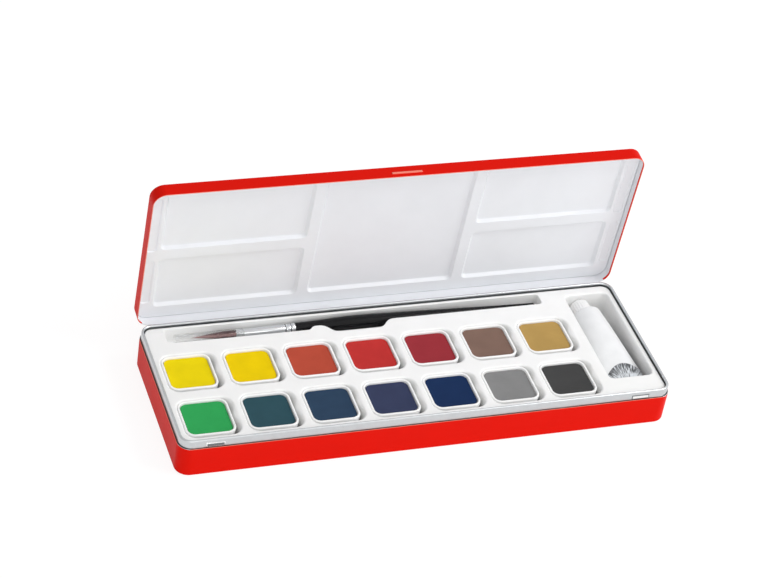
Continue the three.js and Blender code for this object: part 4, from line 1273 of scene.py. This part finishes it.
class PAINTBOX_OT_brush(bpy.types.Operator):
    """Brush: hair, ferrule and handle."""

    bl_idname = "paintbox.brush"
    bl_label = "Brush"

    front_radius: length("Ferrule front", "Radius of the ferrule where the hair leaves it", 2.1)
    rear_radius: length("Ferrule rear", "Radius of the ferrule where it meets the handle", 2.75)
    ferrule_wall: length("Ferrule wall", "Thickness of the ferrule's metal", 0.3)
    crimp_depth: length("Crimp depth", "Depth of a crimp in the ferrule", 0.25)
    crimp_width: length("Crimp width", "Width of a crimp in the ferrule", 1.2)
    crimp_pitch: length("Crimp pitch", "From one crimp to the next", 3)
    crimp_from_end: length("Crimp place", "From the ferrule's rear end to its last crimp", 3)
    belly_from_ferrule: length("Belly place", "From the ferrule to the handle's thickest place", 33)
    handle_end: length("Handle end", "Radius of the handle's rounded end", 1.1)

    def execute(self, context):
        size = sizes_of(context.scene.paintbox_brush)
        own = sizes_of(self)
        low, high = node_box("brush_ferrule")
        axis = Vector((0, (low.y + high.y) / 2, (low.z + high.z) / 2))
        self.make_ferrule(size, own, low.x, high.x, axis)
        self.make_handle(size, own, high.x, axis)
        self.make_hair(size, low.x, axis)
        return {"FINISHED"}

    def make_ferrule(self, size, own, front, end, axis):
        """A tapered sleeve with two crimps pressed into it and a rolled front edge."""
        crimp_steps, pressed_share = 8, 0.3
        ease = own.ferrule_wall / 3
        slope = (own.rear_radius - own.front_radius) / (end - front)
        profile = [
            (front, own.front_radius - own.ferrule_wall), (front, own.front_radius - ease),
            (front + ease, own.front_radius),
        ]
        last = end - own.crimp_from_end
        crimps = (last - own.crimp_pitch, last)
        for start in crimps:
            for step in range(crimp_steps + 1):
                share = step / crimp_steps
                x = start + own.crimp_width * share
                dip = own.crimp_depth * math.sin(math.pi * share) ** 2
                profile.append((x, own.front_radius + slope * (x - front) - dip))
        profile += [(end - ease, own.rear_radius), (end, own.rear_radius - ease)]
        profile.append((end, own.rear_radius - own.ferrule_wall))
        bm = turn_on_lathe(profile, axis, True)

        # faces in the middle of each crimp, which get the dark grey of painted shade
        def pressed(middle, normal):
            return normal.dot(middle - axis) > 0 and any(
                abs(middle.x - start - own.crimp_width / 2) < own.crimp_width * pressed_share
                for start in crimps
            )

        bmesh.ops.recalc_face_normals(bm, faces=bm.faces)
        paint_faces(bm, pressed, 1)
        looks = [
            tinplate_material("Nickel-plated ferrule", size.nickel, 0.2, ROUND_THE_FERRULE),
            tinplate_material(
                "Tarnished plating in the crimps", size.tarnish, 0.4, ROUND_THE_FERRULE
            ),
        ]
        finish_piece(bm, "ferrule_sleeve", looks, "brush", ["brush_ferrule"], 60)

    def make_handle(self, size, own, start, axis):
        """A turned handle that swells to its belly and runs out in a long taper."""
        curve_steps, play, shoulder, taper_curve = 14, 0.05, 0.15, 0.35
        low, high = node_box("brush_handle")
        belly, neck = (high.z - low.z) / 2, own.rear_radius
        tenon, mouth = neck - own.ferrule_wall - play, start + play
        profile = [(low.x, 0), (low.x, tenon), (mouth, tenon), (mouth, neck - play)]
        for step in range(curve_steps + 1):
            share = step / curve_steps
            swell = (1 - math.cos(share * math.pi)) / 2
            x = start + shoulder + share * (own.belly_from_ferrule - shoulder)
            profile.append((x, neck + (belly - neck) * swell))
        taper = high.x - start - own.belly_from_ferrule - own.handle_end
        for step in range(1, 2 * curve_steps + 1):
            share = step / (2 * curve_steps)
            eased = share * share * (3 - 2 * share)
            fall = share + (eased - share) * taper_curve
            x = start + own.belly_from_ferrule + share * taper
            profile.append((x, belly + (own.handle_end - belly) * fall))
        profile += arc((high.x - own.handle_end, 0), own.handle_end, 1, 0, 6)[1:]
        bm = turn_on_lathe(profile, axis, False)
        lacquer = lacquer_material(size.lacquer)
        finish_piece(
            bm, "lacquered_handle", [lacquer], "brush", ["brush_handle"], 50
        )

    def make_hair(self, size, mouth, axis):
        """A round tuft of single tapered hairs that swell a little and draw to a point.

        One straight hair is extruded ring by ring. Its copies are then bent into the tuft.
        """
        rings, ring_taper, tip_taper = 7, 0.92, 0.4
        outer_shorter, least_spread, belly_place, closing_power = 0.32, 0.04, 1.6, 3.4
        reach = mouth - node_box("brush_hair")[0].x
        straight = bmesh.new()
        ring = bmesh.ops.create_circle(
            straight, cap_ends=True, segments=4, radius=size.strand_radius
        )["verts"]
        upright = Matrix.Rotation(-QUARTER, 3, "Y")
        bmesh.ops.rotate(straight, cent=(0, 0, 0), matrix=upright, verts=ring)
        face = ring[0].link_faces[0]
        for count in range(1, rings + 1):
            face = bmesh.ops.extrude_discrete_faces(straight, faces=[face])["faces"][0]
            bmesh.ops.translate(straight, vec=(-1 / rings, 0, 0), verts=face.verts[:])
            narrow = ring_taper if count < rings else tip_taper
            bmesh.ops.scale(straight, vec=(1, narrow, narrow), verts=face.verts[:])
        one_hair = bpy.data.meshes.new("one_hair")
        straight.to_mesh(one_hair)
        straight.free()
        bm = bmesh.new()
        chance = random.Random(7)
        golden = math.pi * (3 - math.sqrt(5))
        for number in range(size.strands):
            start = len(bm.verts)
            bm.from_mesh(one_hair)
            bm.verts.ensure_lookup_table()
            share = math.sqrt((number + 0.5) / size.strands)
            hair_length = reach * (1 - outer_shorter * share ** 3) * chance.uniform(0.94, 1)
            wave = chance.uniform(-0.05, 0.05)
            for vertex in bm.verts[start:]:
                along = max(0, -vertex.co.x)
                swell = math.sin(math.pi * min(1, along * belly_place))
                belly = 1 + size.hair_belly / size.hair_radius * swell
                closing = belly * (1 - along ** closing_power * hair_length / reach)
                spread = share * size.hair_radius * max(least_spread, closing)
                turn = number * golden + wave * along
                vertex.co = Vector((
                    mouth + size.hair_root - along * (hair_length + size.hair_root),
                    axis.y + spread * math.cos(turn) + vertex.co.y,
                    axis.z + spread * math.sin(turn) + vertex.co.z,
                ))
        bpy.data.meshes.remove(one_hair)
        hair = hair_material(size.hair_dark, size.hair_light, axis)
        finish_piece(bm, "hair_tuft", [hair], "brush", ["brush_hair"], 80)


class PAINTBOX_OT_sleeve(bpy.types.Operator):
    """Clear sleeve over the hair."""

    bl_idname = "paintbox.sleeve"
    bl_label = "Brush sleeve"

    def execute(self, context):
        size = sizes_of(context.scene.paintbox_brush)
        low, high = node_box("brush_cap")
        outer, ease = (high.z - low.z) / 2, 0.1
        inner = outer - size.sleeve_wall
        profile = [
            (low.x, inner + ease), (low.x, outer - ease),
            (low.x + ease, outer), (high.x - ease, outer),
            (high.x, outer - ease), (high.x, inner + ease),
            (high.x - ease, inner), (low.x + ease, inner),
        ]
        bm = turn_on_lathe(profile, (low + high) / 2, True)
        clear = sleeve_material(size.sleeve)
        finish_piece(bm, "clear_sleeve", [clear], "brush_cap", ["brush_cap"], 50)
        return {"FINISHED"}


def tube_frame():
    """Where the tube's cap starts, the tube's direction and its turn about the upright."""
    joint = next(item for item in frame["joints"] if item["name"] == "tube_cap_turn")
    axis = Vector(joint["axis"]).normalized()
    return Vector(joint["pos_m"]) / MM, axis, -math.atan2(axis.x, axis.y)


def lay_down(bm, tip, turn, origin):
    """Tips an upright body over, turns it about the upright and moves it to its place."""
    for amount, axis in ((tip, "X"), (turn, "Z")):
        matrix = Matrix.Rotation(amount, 3, axis)
        bmesh.ops.rotate(bm, cent=(0, 0, 0), matrix=matrix, verts=bm.verts)
    bmesh.ops.translate(bm, vec=origin, verts=bm.verts)


class PAINTBOX_OT_tube(bpy.types.Operator):
    """Tube of white: a soft metal tube, folded flat and crinkled at its end."""

    bl_idname = "paintbox.tube"
    bl_label = "Tube of white"

    def execute(self, context):
        size = sizes_of(context.scene.paintbox_tube)
        start, axis, turn = tube_frame()
        ends = [(vertex.co / MM).dot(axis) for vertex in frame["nodes"]["tube_body"].data.vertices]
        total = max(ends) - min(ends)
        origin = start + axis * (min(ends) - start.dot(axis))
        bm = bmesh.new()
        ring = bmesh.ops.create_circle(bm, cap_ends=True, segments=72, radius=1)["verts"]
        forward = Matrix.Rotation(-QUARTER, 3, "X")
        bmesh.ops.rotate(bm, cent=(0, 0, 0), matrix=forward, verts=ring)
        face = ring[0].link_faces[0]
        old = (1, 1)
        for index, (y, across, up) in enumerate(self.sections(size, total)):
            if index:
                face = bmesh.ops.extrude_discrete_faces(bm, faces=[face])["faces"][0]
            verts, middle = face.verts[:], face.calc_center_median()
            space = Matrix.Translation(-middle)
            bmesh.ops.scale(bm, vec=(across / old[0], 1, up / old[1]), space=space, verts=verts)
            bmesh.ops.translate(bm, vec=(0, y - middle.y, 0), verts=verts)
            old = (across, up)
        self.crease(bm, size)
        lay_down(bm, 0, turn, origin)
        skin = tube_material(size.white, size.metal, origin, turn, size.bare_length, size.bare_side)
        finish_piece(bm, "tube_skin", [skin], "tube", ["tube_body"], 50)
        return {"FINISHED"}

    def sections(self, size, total):
        """The tube's sections, as places along it with the half width and height there."""
        wide, thick, rows = size.fold_width / 2, size.fold_thickness / 2, 26
        neck = total - size.neck_length
        shoulder, ease = neck - size.shoulder_length, thick / 2
        sections = [(0, wide - ease, thick - ease), (ease, wide, thick)]
        for row in range(rows + 1):
            share = row / rows
            sections.append((
                size.fold_length + share * (shoulder - size.fold_length),
                wide + (size.radius - wide) * share,
                thick + (size.radius - thick) * math.sin(share * QUARTER),
            ))
        rolled_edge = ((0.35, -0.1), (0.6, -0.45))  # past the shoulder, and from the radius
        collar_length, collar_wider = 0.4, 0.5
        rounds = [(shoulder + past, size.radius + wider) for past, wider in rolled_edge]
        rounds.append((neck - collar_length, size.neck_radius + collar_wider))
        rounds += [(neck, size.neck_radius), (total, size.neck_radius)]
        return sections + [(y, radius, radius) for y, radius in rounds]

    def crease(self, bm, size):
        """Creases the metal in a fan that starts at the fold."""
        creases, upper_side, softness, overlap = 15, 0.3, 0.7, 0.36
        foot, end = size.fold_length - overlap, size.bare_length
        for vertex in bm.verts:
            y = vertex.co.y
            if vertex.co.z < upper_side or y < foot or y > end:
                continue
            fade = math.sin(math.pi * (y - foot) / (end - foot)) ** softness
            wave = math.cos(vertex.co.x / size.fold_width * 2 * math.pi * creases)
            vertex.co.z -= size.crease_depth * fade * (0.5 - 0.5 * wave)


class PAINTBOX_OT_tube_cap(bpy.types.Operator):
    """Screw cap of the tube, with fine grips round it."""

    bl_idname = "paintbox.tube_cap"
    bl_label = "Tube cap"

    grips: IntProperty(
        name="Grips", description="Number of grips round the cap", default=24, min=6, max=60
    )
    radius: length("Radius", "Outer radius of the cap", 5.6)
    bore: length("Bore", "Radius of the hole for the neck", 3.1)
    depth: length("Length", "Length of the cap", 7)
    top: length("Top", "Thickness of the cap's closed end", 1)
    grip_depth: length("Grip depth", "Depth of the grips", 0.22)
    edge: length("Edge", "Rounding of the cap's closed end", 0.5)

    def execute(self, context):
        own = sizes_of(self)
        origin, axis, turn = tube_frame()
        points_per_grip = 4
        bm = bmesh.new()
        ring = bmesh.ops.create_circle(
            bm, cap_ends=True, segments=points_per_grip * self.grips, radius=own.radius
        )["verts"]
        for index, vertex in enumerate(ring):
            if index % points_per_grip < points_per_grip // 2:
                vertex.co *= 1 - own.grip_depth / own.radius
        face = ring[0].link_faces[0]
        hole = copy_face(bm, face)
        sink(bm, face, 0, own.depth - own.edge)
        for inward, down in ((0.4, 0.7), (0.6, 0.3)):
            sink(bm, face, own.edge * inward, own.edge * down)
        sink(bm, hole, 0, 0)
        narrow = own.bore / own.radius
        bmesh.ops.scale(bm, vec=(narrow, narrow, 1), verts=hole.verts[:])
        sink(bm, hole, 0, own.depth - own.top)
        bmesh.ops.remove_doubles(bm, verts=bm.verts, dist=SAME_PLACE)
        lay_down(bm, QUARTER, turn, origin)
        value = context.scene.paintbox_tube.cap_white
        white = moulding_material("White cap plastic", value, 0.4, 0.15)
        finish_piece(bm, "screw_cap", [white], "tube_cap", ["tube_cap"], 40)
        return {"FINISHED"}


# The stage


class PAINTBOX_OT_stage(bpy.types.Operator):
    """Floor, world, lamps and the camera."""

    bl_idname = "paintbox.stage"
    bl_label = "Stage"

    def execute(self, context):
        stage = context.scene.paintbox_stage
        self.add_camera(context, stage)
        self.add_floor(context, stage)
        self.light_world(context)
        self.add_lamps(context)
        context.scene.view_settings.view_transform = "Standard"
        return {"FINISHED"}

    def add_camera(self, context, stage):
        """A camera at the photograph's angle, aimed at a point on the table behind the tin."""
        aim_right, aim_back = 16.5, 80.2
        target = Vector((aim_right, aim_back, 0)) * MM
        az, el = stage.azimuth, stage.elevation
        back = Vector((math.sin(az) * math.cos(el), -math.cos(az) * math.cos(el), math.sin(el)))
        across = (-back).cross(Vector((0, 0, 1))).normalized()
        up = across.cross(-back)
        turn, lift = math.cos(stage.roll), math.sin(stage.roll)
        place = target + back * stage.distance
        pose = Matrix((turn * across + lift * up, turn * up - lift * across, back)).transposed()
        data = bpy.data.cameras.new("Camera")
        data.sensor_width = 36
        data.lens = stage.focal_length
        data.clip_start = 0.05
        camera = bpy.data.objects.new("Camera", data)
        camera.matrix_world = Matrix.Translation(place) @ pose.to_4x4()
        context.scene.collection.objects.link(camera)
        context.scene.camera = camera

    def add_floor(self, context, stage):
        """A white floor that keeps a faint shadow of the box.

        Where it is seen, mirrored or seen through it glows, and a thin grey skin lets the
        shadow show. For all other light it is a plain white floor.
        """
        half_side, glow_strength, skin_grey = 6, 0.86, 0.2
        mesh = bpy.data.meshes.new("floor")
        bm = bmesh.new()
        bmesh.ops.create_grid(bm, x_segments=1, y_segments=1, size=half_side)
        bm.to_mesh(mesh)
        bm.free()
        floor = bpy.data.objects.new("floor", mesh)
        context.scene.collection.objects.link(floor)
        material, tree = start_material("White studio floor")
        coat(tree, {"Base Color": (*stage.backdrop, 1), "Roughness": 0.9})
        plain = tree.nodes["Principled BSDF"].outputs[0]
        glow = add_node(tree, "ShaderNodeEmission", {"Strength": glow_strength}).outputs[0]
        grey = (skin_grey, skin_grey, skin_grey, 1)
        skin = add_node(tree, "ShaderNodeBsdfDiffuse", {"Color": grey}).outputs[0]
        seen = add_node(tree, "ShaderNodeAddShader", {0: glow, 1: skin}).outputs[0]
        shown = self.rays_that_show(
            tree, "Is Camera Ray", "Is Glossy Ray", "Is Transmission Ray"
        )
        both = add_node(tree, "ShaderNodeMixShader", {0: shown, 1: plain, 2: seen}).outputs[0]
        set_sockets(tree, tree.nodes["Material Output"], {"Surface": both})
        mesh.materials.append(material)

    def rays_that_show(self, tree, *kinds):
        """Is 1 for a light ray of one of these kinds, and 0 for the others."""
        rays = add_node(tree, "ShaderNodeLightPath").outputs
        shown = rays[kinds[0]]
        for kind in kinds[1:]:
            shown = add_node(
                tree, "ShaderNodeMath", {0: shown, 1: rays[kind]}, operation="MAXIMUM"
            ).outputs[0]
        return shown

    def light_world(self, context):
        """A soft world, brighter from the right than from the left, and white where it is seen.

        Metal mirrors a pale studio that falls off a little to the left.
        """
        left_light, right_light = 0.5, 0.66
        left_mirrored, full_mirrored_from = 0.55, 0.3
        world = bpy.data.worlds.new("Soft studio")
        context.scene.world = world
        world.use_nodes = True
        tree = world.node_tree
        place = add_node(tree, "ShaderNodeTexCoord").outputs["Generated"]
        side = add_node(tree, "ShaderNodeSeparateXYZ", {"Vector": place}).outputs["X"]
        soft = add_node(tree, "ShaderNodeMapRange", {
            "From Min": -1, "From Max": 1, "To Min": left_light, "To Max": right_light,
            "Value": side,
        }).outputs[0]
        mirrored = add_node(tree, "ShaderNodeMapRange", {
            "From Min": -1, "From Max": full_mirrored_from, "To Min": left_mirrored, "To Max": 1,
            "Value": side,
        }).outputs[0]
        glossy = self.rays_that_show(tree, "Is Glossy Ray")
        lit = add_node(tree, "ShaderNodeMix", {0: glossy, 2: soft, 3: mirrored}).outputs[0]
        shown = self.rays_that_show(tree, "Is Camera Ray", "Is Transmission Ray")
        strength = add_node(tree, "ShaderNodeMix", {0: shown, 2: lit, 3: 1}).outputs[0]
        background = {"Strength": strength, "Color": (1, 1, 1, 1)}
        set_sockets(tree, tree.nodes["Background"], background)

    def add_lamps(self, context):
        """A large key lamp from the right and above, and a front fill."""
        aim = Vector((0, 0, 0.03))
        for name, place, power, side in (
            ("key", (0.9, -0.35, 1.0), 9.2, 0.7),
            ("fill", (-0.3, -1.4, 0.6), 6, 1.0),
        ):
            data = bpy.data.lights.new(name, "AREA")
            data.energy = power
            data.size = side
            lamp = bpy.data.objects.new(name, data)
            lamp.location = place
            lamp.rotation_mode = "QUATERNION"
            lamp.rotation_quaternion = (aim - Vector(place)).to_track_quat("-Z", "Y")
            context.scene.collection.objects.link(lamp)


OPERATORS = (
    PAINTBOX_OT_stage,
    PAINTBOX_OT_base,
    PAINTBOX_OT_collar,
    PAINTBOX_OT_lid,
    PAINTBOX_OT_palette,
    PAINTBOX_OT_hinges,
    PAINTBOX_OT_tray,
    PAINTBOX_OT_pans,
    PAINTBOX_OT_cakes,
    PAINTBOX_OT_brush,
    PAINTBOX_OT_sleeve,
    PAINTBOX_OT_tube,
    PAINTBOX_OT_tube_cap,
)


class PAINTBOX_PT_panel(bpy.types.Panel):
    """Lists the operators that build the box."""

    bl_idname = "PAINTBOX_PT_panel"
    bl_label = "Paint Box"
    bl_space_type = "VIEW_3D"
    bl_region_type = "UI"
    bl_category = "Paint Box"

    def draw(self, context):
        for operator in OPERATORS:
            self.layout.operator(operator.bl_idname)
        for name, group in SETTINGS.items():
            column = self.layout.column()
            settings = getattr(context.scene, name)
            for key in group.__annotations__:
                column.prop(settings, key)


def register():
    for group in SETTINGS.values():
        bpy.utils.register_class(group)
    for operator in OPERATORS:
        bpy.utils.register_class(operator)
    bpy.utils.register_class(PAINTBOX_PT_panel)
    for name, group in SETTINGS.items():
        setattr(bpy.types.Scene, name, PointerProperty(type=group))


def unregister():
    for name in SETTINGS:
        delattr(bpy.types.Scene, name)
    bpy.utils.unregister_class(PAINTBOX_PT_panel)
    for operator in reversed(OPERATORS):
        bpy.utils.unregister_class(operator)
    for group in SETTINGS.values():
        bpy.utils.unregister_class(group)


def main():
    register()
    for operator in OPERATORS:
        module, name = operator.bl_idname.split(".")
        getattr(getattr(bpy.ops, module), name)()


if __name__ == "__main__":
    main()
